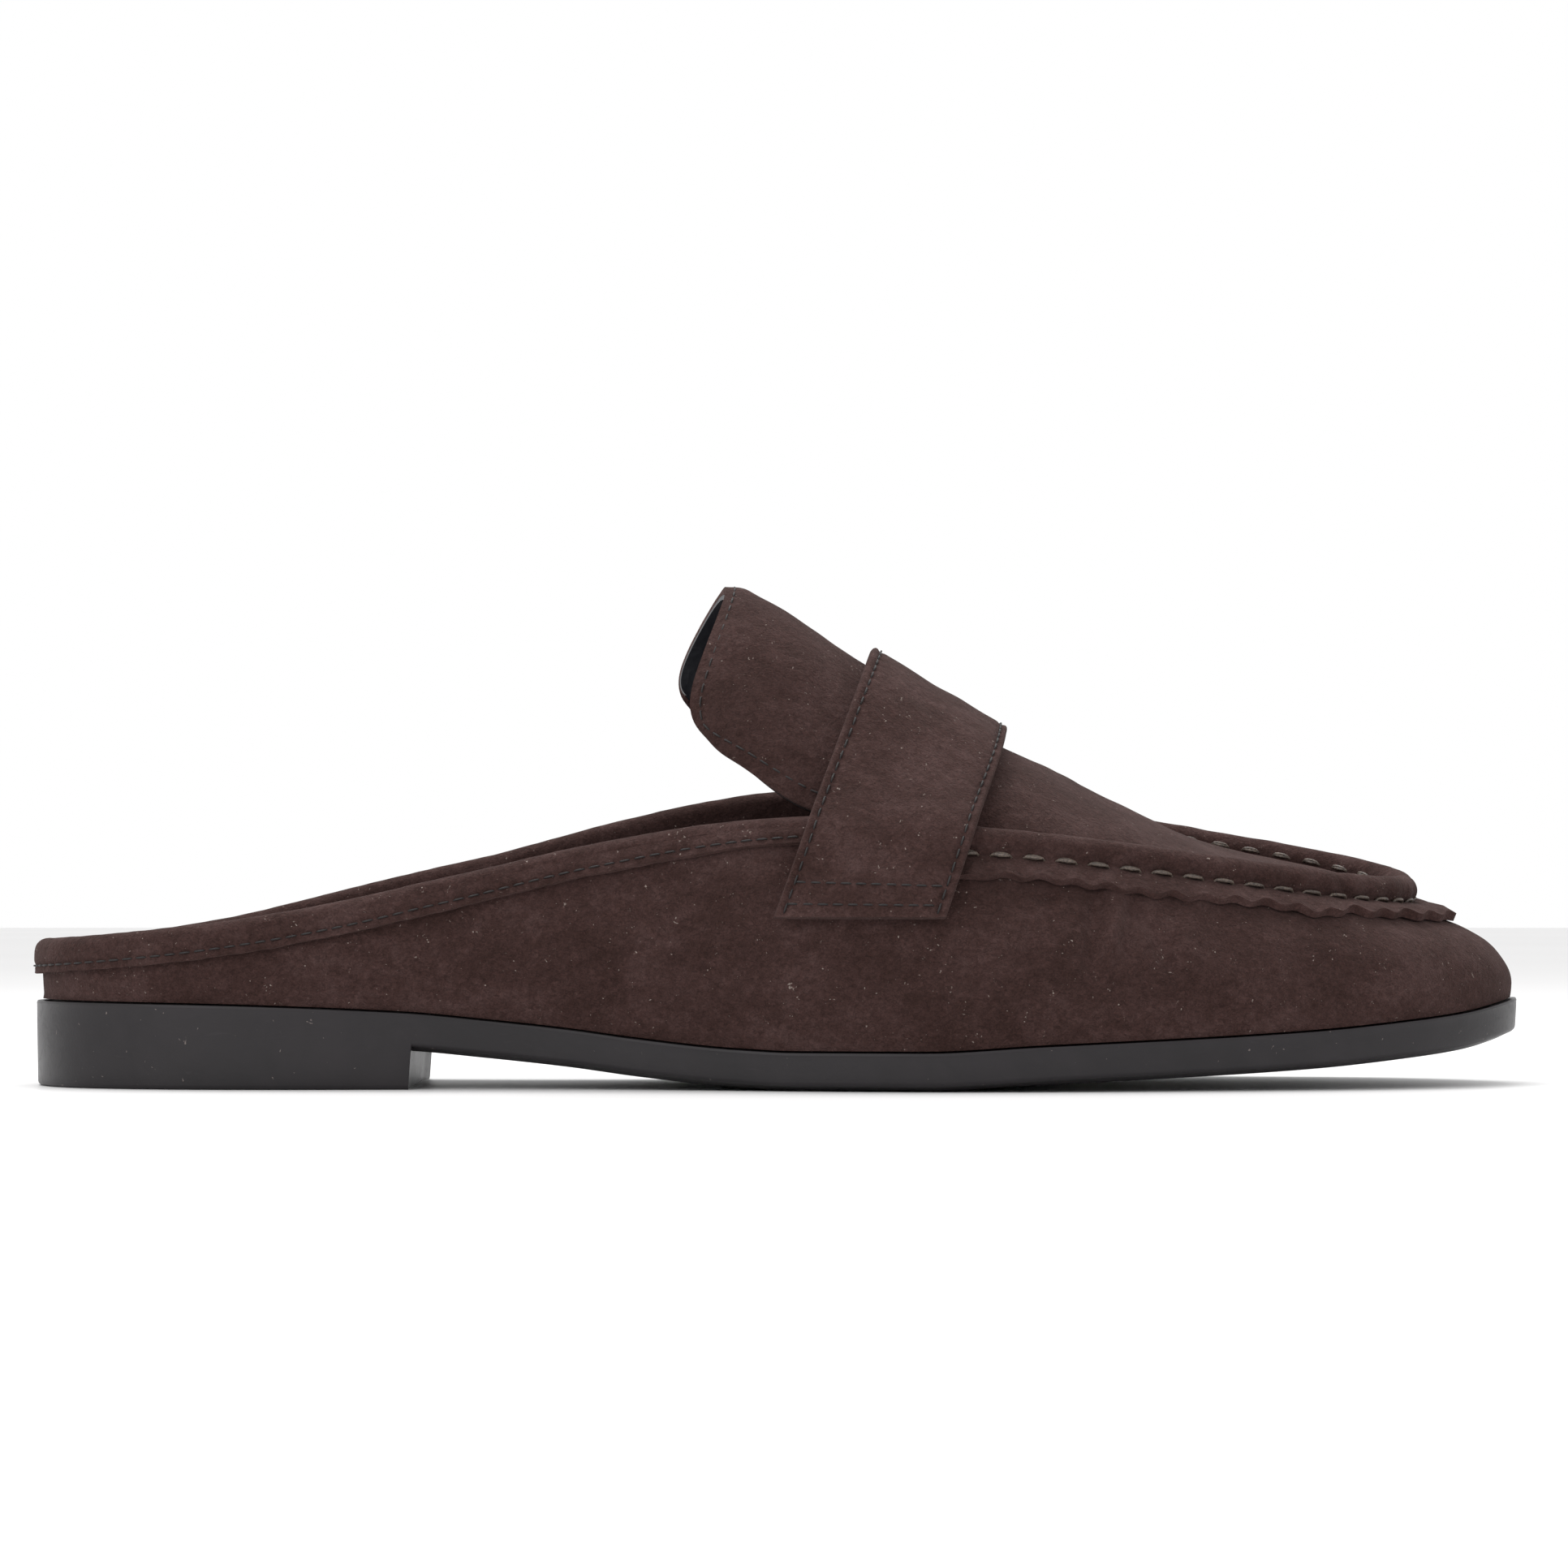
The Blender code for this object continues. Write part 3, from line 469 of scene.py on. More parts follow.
class Shader:
    """A Principled material under construction."""

    def __init__(self, name):
        self.material = bpy.data.materials.new(name)
        self.material.use_nodes = True
        self.tree = self.material.node_tree
        self.out = self.tree.nodes["Principled BSDF"]
        self.place = self.tree.nodes.new("ShaderNodeTexCoord").outputs["Object"]

    def link(self, source, target):
        self.tree.links.new(source, target)

    def node(self, kind, **numbers):
        """A new node with numbers on its sockets, whose names have _ for a space."""
        made = self.tree.nodes.new("ShaderNode" + kind)
        for name, number in numbers.items():
            made.inputs[name.replace("_", " ")].default_value = number
        return made

    def scaled(self, factors):
        """Object coordinates stretched by a factor for each axis."""
        node = self.node("Mapping", Scale=factors)
        self.link(self.place, node.inputs["Vector"])
        return node.outputs["Vector"]

    def noise(self, size, detail=3.0, rough=0.55, warp=0.0, place=None):
        """Noise with features of about the given size in metres."""
        node = self.node("TexNoise", Scale=1.0 / size, Detail=detail, Roughness=rough, Distortion=warp)
        self.link(self.place if place is None else place, node.inputs["Vector"])
        return node.outputs["Fac"]

    def span(self, value, low, high, to_low=0.0, to_high=1.0):
        """Map a value from one range to another, clamped."""
        node = self.node("MapRange", From_Min=low, From_Max=high, To_Min=to_low, To_Max=to_high)
        self.link(value, node.inputs["Value"])
        return node.outputs["Result"]

    def maths(self, kind, a, b):
        """One math node on two sockets or numbers."""
        node = self.node("Math")
        node.operation = kind
        for socket, value in zip(node.inputs, (a, b)):
            if isinstance(value, (int, float)):
                socket.default_value = value
            else:
                self.link(value, socket)
        return node.outputs[0]

    def blend(self, share, first, second, kind="MIX"):
        """Mix two colours, given as sockets or RGB triples."""
        node = self.node("Mix")
        node.data_type = "RGBA"
        node.blend_type = kind
        if isinstance(share, (int, float)):
            node.inputs[0].default_value = share
        else:
            self.link(share, node.inputs[0])
        for socket, value in ((node.inputs[6], first), (node.inputs[7], second)):
            if isinstance(value, tuple):
                socket.default_value = (*value, 1.0)
            else:
                self.link(value, socket)
        return node.outputs[2]

    def bump(self, height, distance, strength=1.0, below=None):
        """Bump of a height socket, on top of another bump."""
        node = self.node("Bump", Strength=strength, Distance=distance)
        self.link(height, node.inputs["Height"])
        if below is not None:
            self.link(below, node.inputs["Normal"])
        return node.outputs["Normal"]


def suede(name, tone=1.0, patch=0.012, nap=0.00050, lint=True):
    """Brushed suede: soft patches of turned nap, clumps and short fibres, and a few pale specks."""
    s = Shader(name)
    broad = s.noise(patch, 3.0, 0.5, 0.5, s.scaled((0.7, 1.0, 1.2)))
    clump = s.noise(0.0021, 3.0, 0.62, 0.5, s.scaled((0.75, 1.0, 1.0)))
    grain = s.noise(nap * 1.9, 2.0, 0.55, 0.6)
    fibre = s.noise(nap, 3.0, 0.7, 1.4, s.scaled((0.7, 1.0, 1.0)))
    turned = s.maths("ADD", s.span(broad, 0.34, 0.68, 0.0, 0.42), s.span(clump, 0.30, 0.72, 0.0, 0.34))
    turned = s.maths("ADD", turned, s.span(grain, 0.30, 0.72, 0.0, 0.24))
    deep, middle, pale = (tuple(part * tone for part in each) for each in SUEDE_TONES)
    colour = s.blend(s.span(turned, 0.18, 0.56), deep, middle)
    colour = s.blend(s.span(turned, 0.52, 0.95), colour, pale)
    shade = s.node("CombineColor")
    speck = s.span(fibre, 0.36, 0.68, 0.70, 1.34)
    for socket in shade.inputs:
        s.link(speck, socket)
    colour = s.blend(1.0, colour, shade.outputs[0], "MULTIPLY")
    if lint:
        dust = s.noise(0.0016, 1.0, 0.4, 1.5)
        fine = s.noise(0.00036, 1.0, 0.4, 0.0)
        specks = s.maths("MULTIPLY", s.span(dust, 0.68, 0.74), s.span(fine, 0.60, 0.68))
        colour = s.blend(specks, colour, (0.22, 0.18, 0.16))
    s.link(colour, s.out.inputs["Base Color"])
    s.out.inputs["Roughness"].default_value = 0.95
    s.out.inputs["Specular IOR Level"].default_value = 0.10
    s.out.inputs["Sheen Weight"].default_value = 0.06
    s.out.inputs["Sheen Roughness"].default_value = 0.5
    s.out.inputs["Sheen Tint"].default_value = (0.85, 0.64, 0.60, 1.0)
    low = s.bump(clump, 0.0006, 0.45)
    mid = s.bump(grain, 0.00030, 0.75, low)
    s.link(s.bump(fibre, 0.00022, 1.0, mid), s.out.inputs["Normal"])
    return s.material


def rubber():
    """Satin moulded sole with a faint haze, fine pits and rubbed spots."""
    s = Shader("satin_sole")
    cloud = s.noise(0.016, 3.0, 0.6, 0.5)
    fine = s.noise(0.00060, 3.0, 0.65)
    rub = s.noise(0.0034, 4.0, 0.7, 1.2, s.scaled((0.35, 1.0, 1.6)))
    colour = s.blend(s.span(cloud, 0.35, 0.68), (0.0085, 0.0066, 0.0080), (0.0150, 0.0120, 0.0140))
    colour = s.blend(s.span(rub, 0.62, 0.80, 0.0, 0.25), colour, (0.045, 0.038, 0.042))
    dust = s.noise(0.0011, 1.0, 0.4, 1.0)
    colour = s.blend(s.span(dust, 0.76, 0.80, 0.0, 0.7), colour, (0.16, 0.13, 0.12))
    s.link(colour, s.out.inputs["Base Color"])
    rough = s.maths("ADD", s.span(cloud, 0.3, 0.7, 0.36, 0.44), s.span(rub, 0.5, 0.8, 0.0, 0.12))
    s.link(rough, s.out.inputs["Roughness"])
    s.out.inputs["Specular IOR Level"].default_value = 0.34
    low = s.bump(cloud, 0.0004, 0.2)
    s.link(s.bump(fine, 0.00004, 0.6, low), s.out.inputs["Normal"])
    return s.material


def smooth_leather(name, deep, pale, gloss):
    """Lining leather with a fine pebble and soft wear."""
    s = Shader(name)
    wear = s.noise(0.016, 3.0, 0.6, 0.4)
    pebble = s.node("TexVoronoi", Scale=1.0 / 0.0011)
    s.link(s.place, pebble.inputs["Vector"])
    cells = pebble.outputs["Distance"]
    s.link(s.blend(s.span(wear, 0.34, 0.7), deep, pale), s.out.inputs["Base Color"])
    s.link(s.span(wear, 0.3, 0.7, gloss, gloss + 0.12), s.out.inputs["Roughness"])
    s.link(s.bump(cells, 0.00009, 0.6, s.bump(wear, 0.0005, 0.3)), s.out.inputs["Normal"])
    return s.material


def thread(name, deep, pale, rough=0.6):
    """Waxed twisted thread."""
    s = Shader(name)
    twist = s.noise(0.00035, 2.0, 0.5, 0.8, s.scaled((1.0, 1.0, 2.0)))
    tone = s.noise(0.004, 2.0, 0.5)
    colour = s.blend(s.span(twist, 0.36, 0.66), deep, pale)
    colour = s.blend(s.span(tone, 0.4, 0.7, 0.0, 0.35), colour, deep)
    s.link(colour, s.out.inputs["Base Color"])
    s.link(s.span(twist, 0.3, 0.7, rough - 0.08, rough + 0.1), s.out.inputs["Roughness"])
    s.link(s.bump(twist, 0.00012, 0.7), s.out.inputs["Normal"])
    return s.material


# Colours of the nap brushed down, at rest and brushed up
SUEDE_TONES = ((0.0300, 0.0150, 0.0130), (0.0440, 0.0232, 0.0210), (0.0640, 0.0370, 0.0345))
SUEDE_UPPER = suede("suede_upper")
SUEDE_APRON = suede("suede_apron", 0.98, 0.010)
SUEDE_STRAP = suede("suede_strap", 1.05, 0.010)
SUEDE_ROLL = suede("suede_roll", 1.0, 0.008)
CUT_EDGE = suede("cut_edge", 1.35, 0.004, 0.00040, False)
LINING_BROWN = smooth_leather("lining_brown", (0.020, 0.0120, 0.0085), (0.034, 0.021, 0.0155), 0.6)
LINING_NAVY = smooth_leather("lining_navy", (0.0075, 0.0080, 0.0115), (0.0150, 0.0160, 0.0215), 0.40)
SOCK = smooth_leather("sock_leather", (0.0150, 0.0110, 0.0100), (0.0290, 0.0215, 0.0190), 0.44)
SOLE = rubber()
THREAD_HAND = thread("thread_hand", (0.020, 0.014, 0.011), (0.150, 0.112, 0.088), 0.45)
THREAD_FINE = thread("thread_fine", (0.0035, 0.0022, 0.0022), (0.0130, 0.0080, 0.0080), 0.6)


# Sole and insole


def paired_places(pairs):
    """Perimeter places in pairs of one X, outer and inner side, with the breast's two rows."""
    outline = SURVEY["outline"]
    outer_side, inner_side = sides_of(outline[:, 0])
    outer_x = outline[outer_side % DENSE, 0]
    inner_x = outline[inner_side % DENSE, 0]
    run = run_length(outline[outer_side % DENSE])
    x = np.interp(np.linspace(0, run[-1], pairs + 1)[1:-1], run, outer_x)
    breast = HEEL_BACK_X + HEEL_LENGTH
    x = x[np.abs(x - breast) > BREAST_SLANT * 2]
    x = np.sort(np.append(x, [breast, breast + BREAST_SLANT]))
    outer_u = np.interp(x, outer_x, outer_side) / DENSE
    inner_u = np.interp(x, inner_x, inner_side) / DENSE
    heel, toe = outer_side[[0, -1]] / DENSE
    places = np.concatenate([[heel], outer_u, [toe], inner_u[::-1]])
    behind = x <= breast
    is_heel = np.concatenate([[True], behind, [False], behind[::-1]])
    return places, is_heel, len(x)


def slab(name, rings, pairs, finish, sharp):
    """Closed slab: rings run round from the heel tip, and both ends are bridged side to side."""
    verts = np.stack(rings)
    count = verts.shape[1]
    faces = grid_faces(len(rings), count, False, True)
    for row, flip in ((0, False), (len(rings) - 1, True)):
        base = row * count
        outer = [base + 1 + i for i in range(pairs)]
        inner = [base + count - 1 - i for i in range(pairs)]
        toe = base + pairs + 1
        caps = [[base, outer[0], inner[0]], [toe, inner[-1], outer[-1]]]
        caps += [[outer[i], outer[i + 1], inner[i + 1], inner[i]] for i in range(pairs - 1)]
        faces += [face[::-1] for face in caps] if flip else caps
    return make_piece(name, verts, faces, [finish], None, sharp)


def slab_ring(places, inset, height):
    """One ring of a slab: perimeter places moved inward, at heights given by a function of X."""
    plan = look_up("outline", places) + look_up("into", places) * inset
    return np.column_stack([plan, height(plan[:, 0])])


def dress_outsole():
    """The moulded sole with a rounded foot and the thin bevel along its top edge."""
    places, is_heel, pairs = paired_places(230)
    lift = np.where(is_heel, 0.0, EDGE_LIFT)

    def under(x):
        return np.where(is_heel, 0.0, sole_top(x) - SOLE_THICKNESS)

    side = TOP_BEVEL / 2
    rings = [
        slab_ring(places, 4 * TOP_BEVEL, sole_top),
        slab_ring(places, TOP_BEVEL, sole_top),
        slab_ring(places, 0.35 * TOP_BEVEL, lambda x: sole_top(x) - 0.12 * TOP_BEVEL),
        slab_ring(places, 0.0, lambda x: sole_top(x) - 0.9 * TOP_BEVEL),
        slab_ring(places, 0.1 * TOP_BEVEL, lambda x: sole_top(x) - 1.3 * TOP_BEVEL),
    ]
    for share in (0.25, 0.5, 0.75):
        rings.append(slab_ring(places, side * share, lambda x, k=share: (
            (sole_top(x) - 1.3 * TOP_BEVEL) * (1 - k) + (under(x) + lift + FOOT_ROUND) * k)))
    for angle in np.radians((0, 22, 45, 68, 90)):
        rings.append(slab_ring(places, side + FOOT_ROUND * (1 - math.cos(angle)), lambda x, a=angle: (
            under(x) + lift + FOOT_ROUND * (1 - math.sin(a)))))
    for share in (0.35, 0.7, 1.0):
        reach = side + FOOT_ROUND + (EDGE_SHELF - side - FOOT_ROUND) * share
        rings.append(slab_ring(places, reach, lambda x, k=share: under(x) + lift * (1 - k) ** 2))
    return settle(slab("sole_unit", rings, pairs, SOLE, 32), "sole", "outsole")


def dress_insole():
    """Leather sock with a soft edge."""
    places, _, pairs = paired_places(150)
    top = INSOLE_THICKNESS
    rings = [
        slab_ring(places, INSOLE_INSET, lambda x: sole_top(x) + GAP),
        slab_ring(places, INSOLE_INSET, lambda x: sole_top(x) + top - TOP_BEVEL),
        slab_ring(places, INSOLE_INSET + 0.3 * TOP_BEVEL, lambda x: sole_top(x) + top - 0.3 * TOP_BEVEL),
        slab_ring(places, INSOLE_INSET + TOP_BEVEL, lambda x: sole_top(x) + top),
    ]
    piece = slab("sock", rings[::-1], pairs, SOCK, 50)
    return settle(piece, "sock", "insole")


# Upper


def forepart_relief(points, u, t):
    """How far the wall stands proud of its plain form: creases, puckers and slight unevenness."""
    x = points[..., 0]
    z = points[..., 2]
    outer_side = smooth_step(-points[..., 1], 0.004, 0.016)
    inner_side = smooth_step(points[..., 1], 0.004, 0.016)
    relief = 0.00016 * waves(points, 0.022, 11) + 0.00007 * waves(points, 0.008, 12)
    for row in CREASES:
        middle = (row.low + row.high) / 2
        half_tall = (row.high - row.low) / 2
        centre = at_length(row.along) + row.lean * (z - middle) / half_tall
        across = np.exp(-((x - centre) / row.half) ** 2)
        shoulder = np.exp(-((x - centre) / (2.6 * row.half)) ** 2)
        tall = np.exp(-np.abs((z - middle) / (1.15 * half_tall)) ** 3)
        far = 0.55 * np.exp(-((x - centre - 0.006) / (1.4 * row.half)) ** 2)
        relief -= row.depth * outer_side * tall * (1.25 * across - 0.35 * shoulder)
        relief -= row.depth * inner_side * tall * far
    pinch = np.exp(-((1 - t) / 0.16) ** 2) * smooth_step(x, at_length(ROLL_START_SHARE), at_length(0.66))
    relief += 0.00012 * pinch * np.cos(STITCH_TURNS * 2 * np.pi * u)
    fade = np.clip(t / 0.12, 0, 1)
    return relief * fade


def dress_upper():
    """The hollow suede wall with its lining face."""
    around = 620
    outer_rows = 66
    inner_rows = 18
    heights = np.concatenate([np.linspace(0, 1, outer_rows), np.linspace(1, 0, inner_rows)])
    u = np.arange(around)[:, None] / around
    u, t = np.broadcast_arrays(u, heights[None, :])
    points, normal = wall_frame(u, t)
    kinds = np.repeat((0, 1), (outer_rows, inner_rows))
    relief = np.where(kinds > 0, 0.0, forepart_relief(points, u, t))
    rings = points + normal * (relief - kinds * WALL)[..., None]
    rings[:, -1, 2] = rings[:, 0, 2]
    piece = loft("suede_wall", rings, True, [SUEDE_UPPER, LINING_BROWN], kinds)
    return settle(piece, "upper_suede", "upper")


SEAM_PLACES = places_between(at_length(ROLL_START_SHARE), 900, True)
SEAM_RUN = run_length(wall_frame(SEAM_PLACES, 1.0)[0])
STITCH_TURNS = SEAM_RUN[-1] / STITCH_PITCH / (SEAM_PLACES[-1] - SEAM_PLACES[0])


def seam_phase(u):
    """Stitch number along the seam at perimeter places u, a whole number at a stitch's middle."""
    return np.interp(u, SEAM_PLACES, SEAM_RUN) / STITCH_PITCH


def dress_roll():
    """Gathered roll round the apron with its wavy raw flange."""
    u = places_between(at_length(ROLL_START_SHARE), 760, True)
    gather = np.cos(2 * np.pi * seam_phase(u))
    rim = look_up("rim", u)
    out = rim_outward(u)
    centre = np.column_stack([rim, look_up("crest", u) - ROLL_RADIUS])
    uneven = waves(centre, 0.012, 21)
    fine = waves(centre, 0.0045, 22)
    columns = []
    length = FLANGE_LENGTH * (1 + 0.10 * uneven + 0.05 * fine) - 0.00035 * gather
    lift = 0.00022 * (1 + gather) + 0.00010 * fine
    for share in np.linspace(1, 0, 9):
        proud = GAP + FLANGE_THICKNESS + lift * share - 0.00028 * (1 - share) * (1 + gather) / 2
        columns.append(off_wall(u, length * share, proud))
    radius = ROLL_RADIUS * (1 + 0.035 * uneven + 0.022 * fine)
    for angle in np.radians(np.linspace(-34, 228, 26)):
        side = max(0.0, -math.sin(angle - 0.35)) + 0.25 * abs(math.cos(angle))
        reach = radius - 0.00020 * gather * side
        aim = math.cos(angle) * out + math.sin(angle) * UP
        columns.append(centre + aim * reach[:, None])
    columns.append(off_wall(u, 0.0, GAP) + UP * GAP)
    for share in (0.5, 1.0):
        columns.append(off_wall(u, length * share, GAP))
    kinds = [0] * (len(columns) - 1) + [1]
    rings = np.stack(columns, axis=1)
    piece = loft("rolled_seam", rings, False, [SUEDE_ROLL, CUT_EDGE], kinds)
    return settle(piece, "roll_suede", "moc_seam_roll")


def dress_binding():
    """Soft folded binding round the collar, its raw lower edge turned out a little."""
    u = places_between(at_length(BINDING_END_SHARE), 820, False)
    rim = look_up("rim", u)
    out = rim_outward(u)
    centre = np.column_stack([rim, wall_top(u)[:, 2]])
    uneven = waves(centre, 0.014, 31)
    fine = waves(centre, 0.004, 32)
    columns = []
    length = BINDING_LENGTH * (1 + 0.035 * uneven + 0.02 * fine)
    full = BINDING_THICKNESS
    for share in np.linspace(1, 0, 14):
        down = length * share
        groove = 0.00022 * np.exp(-((down - length + BINDING_SEAM_INSET) / 0.00045) ** 2)
        puff = 0.00016 * np.sin(np.pi * np.clip(share, 0, 1)) * (1 + 0.5 * uneven)
        proud = GAP + full + puff - groove + 0.00012 * smooth_step(share, 0.85, 1.0) * (1 + fine)
        columns.append(off_wall(u, down, proud))
    radius = WALL / 2 + GAP + full
    for angle in np.linspace(0, math.pi, 15)[1:-1]:
        aim = math.cos(angle) * out + math.sin(angle) * UP
        columns.append(centre + aim * (radius * (1 + 0.02 * uneven + 0.012 * fine))[:, None])
    for share in np.linspace(0, 1, 8):
        columns.append(off_wall(u, BINDING_INNER_LENGTH * share, -WALL - GAP - full))
    raw_inside = len(columns) - 1
    for share in (1.0, 0.0):
        columns.append(off_wall(u, BINDING_INNER_LENGTH * share, -WALL - GAP))
    for angle in np.linspace(math.pi, 0, 5)[1:-1]:
        aim = math.cos(angle) * out + math.sin(angle) * UP
        columns.append(centre + aim * (WALL / 2 + GAP))
    for down in (0.0, length):
        columns.append(off_wall(u, down, GAP))
    kinds = [0] * (len(columns) - 1) + [1]
    kinds[raw_inside] = 1
    rings = np.stack(columns, axis=1)
    piece = loft("collar_fold", rings, False, [SUEDE_ROLL, CUT_EDGE], kinds)
    return settle(piece, "binding", "collar_binding")


# Apron and tongue


def seat_line():
    """Line inside the roll where the apron's edge sits, with its height, round the shoe."""
    reach = max(ROLL_RADIUS, WALL / 2 + GAP + BINDING_THICKNESS) + GAP
    plan = SURVEY["rim"] - SURVEY["rim_out"] * reach
    return np.column_stack([plan, SURVEY["crest"] - APRON_SINK])


SEAT = seat_line()


def seat_at(x, inner):
    """Seat of the apron's edge at world X values, on the outer or the inner side."""
    side = sides_of(SEAT[:, 0])[int(inner)]
    points = SEAT[side % DENSE]
    return np.stack([np.interp(x, points[:, 0], points[:, k]) for k in range(3)], axis=-1)


def apron_skin(a, v):
    """Outer face of apron and tongue; a counts rib rows, and one more to the toe end."""
    a, v = np.broadcast_arrays(np.asarray(a, float), np.asarray(v, float))
    last_row = len(RIBS) - 1
    rows = np.clip(a, 0, last_row)
    col = {name: eased(np.arange(len(RIBS)), [getattr(r, name) for r in RIBS], rows)
           for name in Rib._fields}
    end = (SEAT[:, 0].max() - HEEL_BACK_X) / SOLE_LENGTH - RIB_END_CLEARANCE
    ahead = np.sin(np.clip(a - last_row, 0, 1) * np.pi / 2)
    along = col["along"] + (end - RIBS[-1].along) * ahead
    foot_x = at_length(along) + col["swing"] * SOLE_LENGTH
    outer_foot = seat_at(foot_x, False)
    inner_foot = seat_at(foot_x, True)
    outer_foot[..., 1] += col["draw"] * BALL_WIDTH
    inner_foot[..., 1] -= col["draw"] * BALL_WIDTH
    outer_foot[..., 2] += col["lift"] * BALL_WIDTH
    inner_foot[..., 2] += col["lift_in"] * BALL_WIDTH
    bend = col["arch"] * math.pi / 2
    sideways = np.sin(v * bend) / np.sin(bend)
    high = (np.cos(v * bend) - np.cos(bend)) / (1 - np.cos(bend))
    low = 1 - high
    level = outer_foot + (inner_foot - outer_foot) * ((sideways + 1) / 2)[..., None]
    shift = col["swing"] * low + col["tuck"] * low ** TUCK_POWER - col["skew"] * v
    x = at_length(along) + shift * SOLE_LENGTH
    return np.stack([x, level[..., 1], level[..., 2] + col["crown"] * INSTEP_CROWN * high], -1)


def apron_frame(a, v):
    """Point and outward normal of the apron's outer face."""
    a, v = np.broadcast_arrays(np.asarray(a, float), np.asarray(v, float))
    step = 0.02
    top = len(RIBS)
    ahead = apron_skin(np.clip(a + step, 0, top), v) - apron_skin(np.clip(a - step, 0, top), v)
    across = apron_skin(a, np.clip(v + step, -1, 1)) - apron_skin(a, np.clip(v - step, -1, 1))
    return apron_skin(a, v), unit(np.cross(ahead, across))


def plate_piece(name, outer, inner, finishes, edge_kind=0):
    """Closed plate between two grids of points of one shape."""
    rows, columns = outer.shape[:2]
    count = rows * columns
    verts = np.concatenate([outer.reshape(-1, 3), inner.reshape(-1, 3)])
    faces = grid_faces(rows, columns, False, False)
    faces += grid_faces(rows, columns, False, False, count, True)
    kinds = [0] * len(faces)
    rim = [r * columns for r in range(rows)]
    rim += [(rows - 1) * columns + c for c in range(1, columns)]
    rim += [r * columns + columns - 1 for r in range(rows - 2, -1, -1)]
    rim += list(range(columns - 2, 0, -1))
    for i, first in enumerate(rim):
        second = rim[(i + 1) % len(rim)]
        faces.append([second, first, first + count, second + count])
        kinds.append(edge_kind)
    return make_piece(name, verts, faces, finishes, kinds, 50)


def dress_apron():
    """The suede apron and tongue, and the leather that lines the tongue."""
    last_row = len(RIBS) - 1
    a = np.concatenate([np.linspace(0, last_row, 200), np.linspace(last_row, len(RIBS), 30)[1:]])[:, None]
    v = np.linspace(-1, 1, 110)[None, :]
    points, normal = apron_frame(a, v)
    relief = 0.00014 * waves(points, 0.018, 41) + 0.00005 * waves(points, 0.006, 42)
    outer = points + normal * relief[..., None]
    inner = points - normal * SUEDE_DEPTH
    suede_piece = plate_piece("apron_and_tongue", outer, inner, [SUEDE_APRON, CUT_EDGE], 1)
    settle(suede_piece, "apron_suede", "apron_tongue")
    a = np.linspace(0, LINING_LAST_RIB, 110)[:, None]
    points, normal = apron_frame(a, v)
    top = points - normal * (SUEDE_DEPTH + 0.00005)
    low = points - normal * APRON_THICKNESS
    lining = plate_piece("tongue_lining", top, low, [LINING_NAVY])
    settle(lining, "sock")
    return suede_piece


# Strap


def tree_of(objects):
    """One search tree over the faces of several objects."""
    points = []
    faces = []
    for each in objects:
        start = len(points)
        points += [vertex.co.copy() for vertex in each.data.vertices]
        faces += [[start + i for i in face.vertices] for face in each.data.polygons]
    return BVHTree.FromPolygons(points, faces)


def taut(points):
    """The upper convex hull of points in a plane, from the first to the last."""
    hull = []
    for point in points:
        while len(hull) > 1:
            a, b = hull[-2], hull[-1]
            turn = (b[0] - a[0]) * (point[1] - a[1]) - (b[1] - a[1]) * (point[0] - a[0])
            if turn < 0:
                break
            hull.pop()
        hull.append(point)
    return np.array(hull)


def strap_line(tree, share, count):
    """Inner face of the strap in one leaning plane, pulled taut over what lies under it."""
    lean_length = math.hypot(1, STRAP_LEAN)
    foot_x = at_length(STRAP_FOOT_SHARE) + (share - 0.5) * STRAP_WIDTH * lean_length
    foot_z = float(sole_top(foot_x)) + STRAP_END_OUTER
    far_z = float(sole_top(foot_x)) + STRAP_END_INNER
    reach = BALL_WIDTH
    found = []
    for angle in np.radians(np.linspace(180, 0, 121)):
        start_z = foot_z + (far_z - foot_z) * (math.cos(angle) * 0.5 + 0.5)
        aim = np.array((STRAP_LEAN * math.sin(angle), math.cos(angle), math.sin(angle)))
        hub = np.array((foot_x + STRAP_LEAN * (start_z - foot_z), 0.0, start_z))
        length = np.linalg.norm(aim)
        start = hub + aim * reach
        stands = []
        for beside in (-1, 0, 1):
            shifted = start + np.array((beside * STRAP_WIDTH / 14, 0, 0))
            travel = tree.ray_cast(Vector(shifted), Vector(-aim))[3]
            if travel is not None:
                stands.append(reach * length - travel)
        if not stands or max(stands) < WAIST_WIDTH / 4:
            continue
        point = hub + aim / length * (max(stands) + STRAP_GAP)
        found.append((point[1], point[2]))
    hull = taut(found)
    run = run_length(hull)
    fine = 10
    places = np.linspace(0, run[-1], (count - 1) * fine + 1)
    line = np.column_stack([np.interp(places, run, hull[:, k]) for k in range(2)])
    for _ in range(fine):
        line[1:-1] = (line[:-2] + 2 * line[1:-1] + line[2:]) / 4
    line = line[::fine]
    x = foot_x + STRAP_LEAN * (line[:, 1] - foot_z)
    return np.column_stack([x, line])


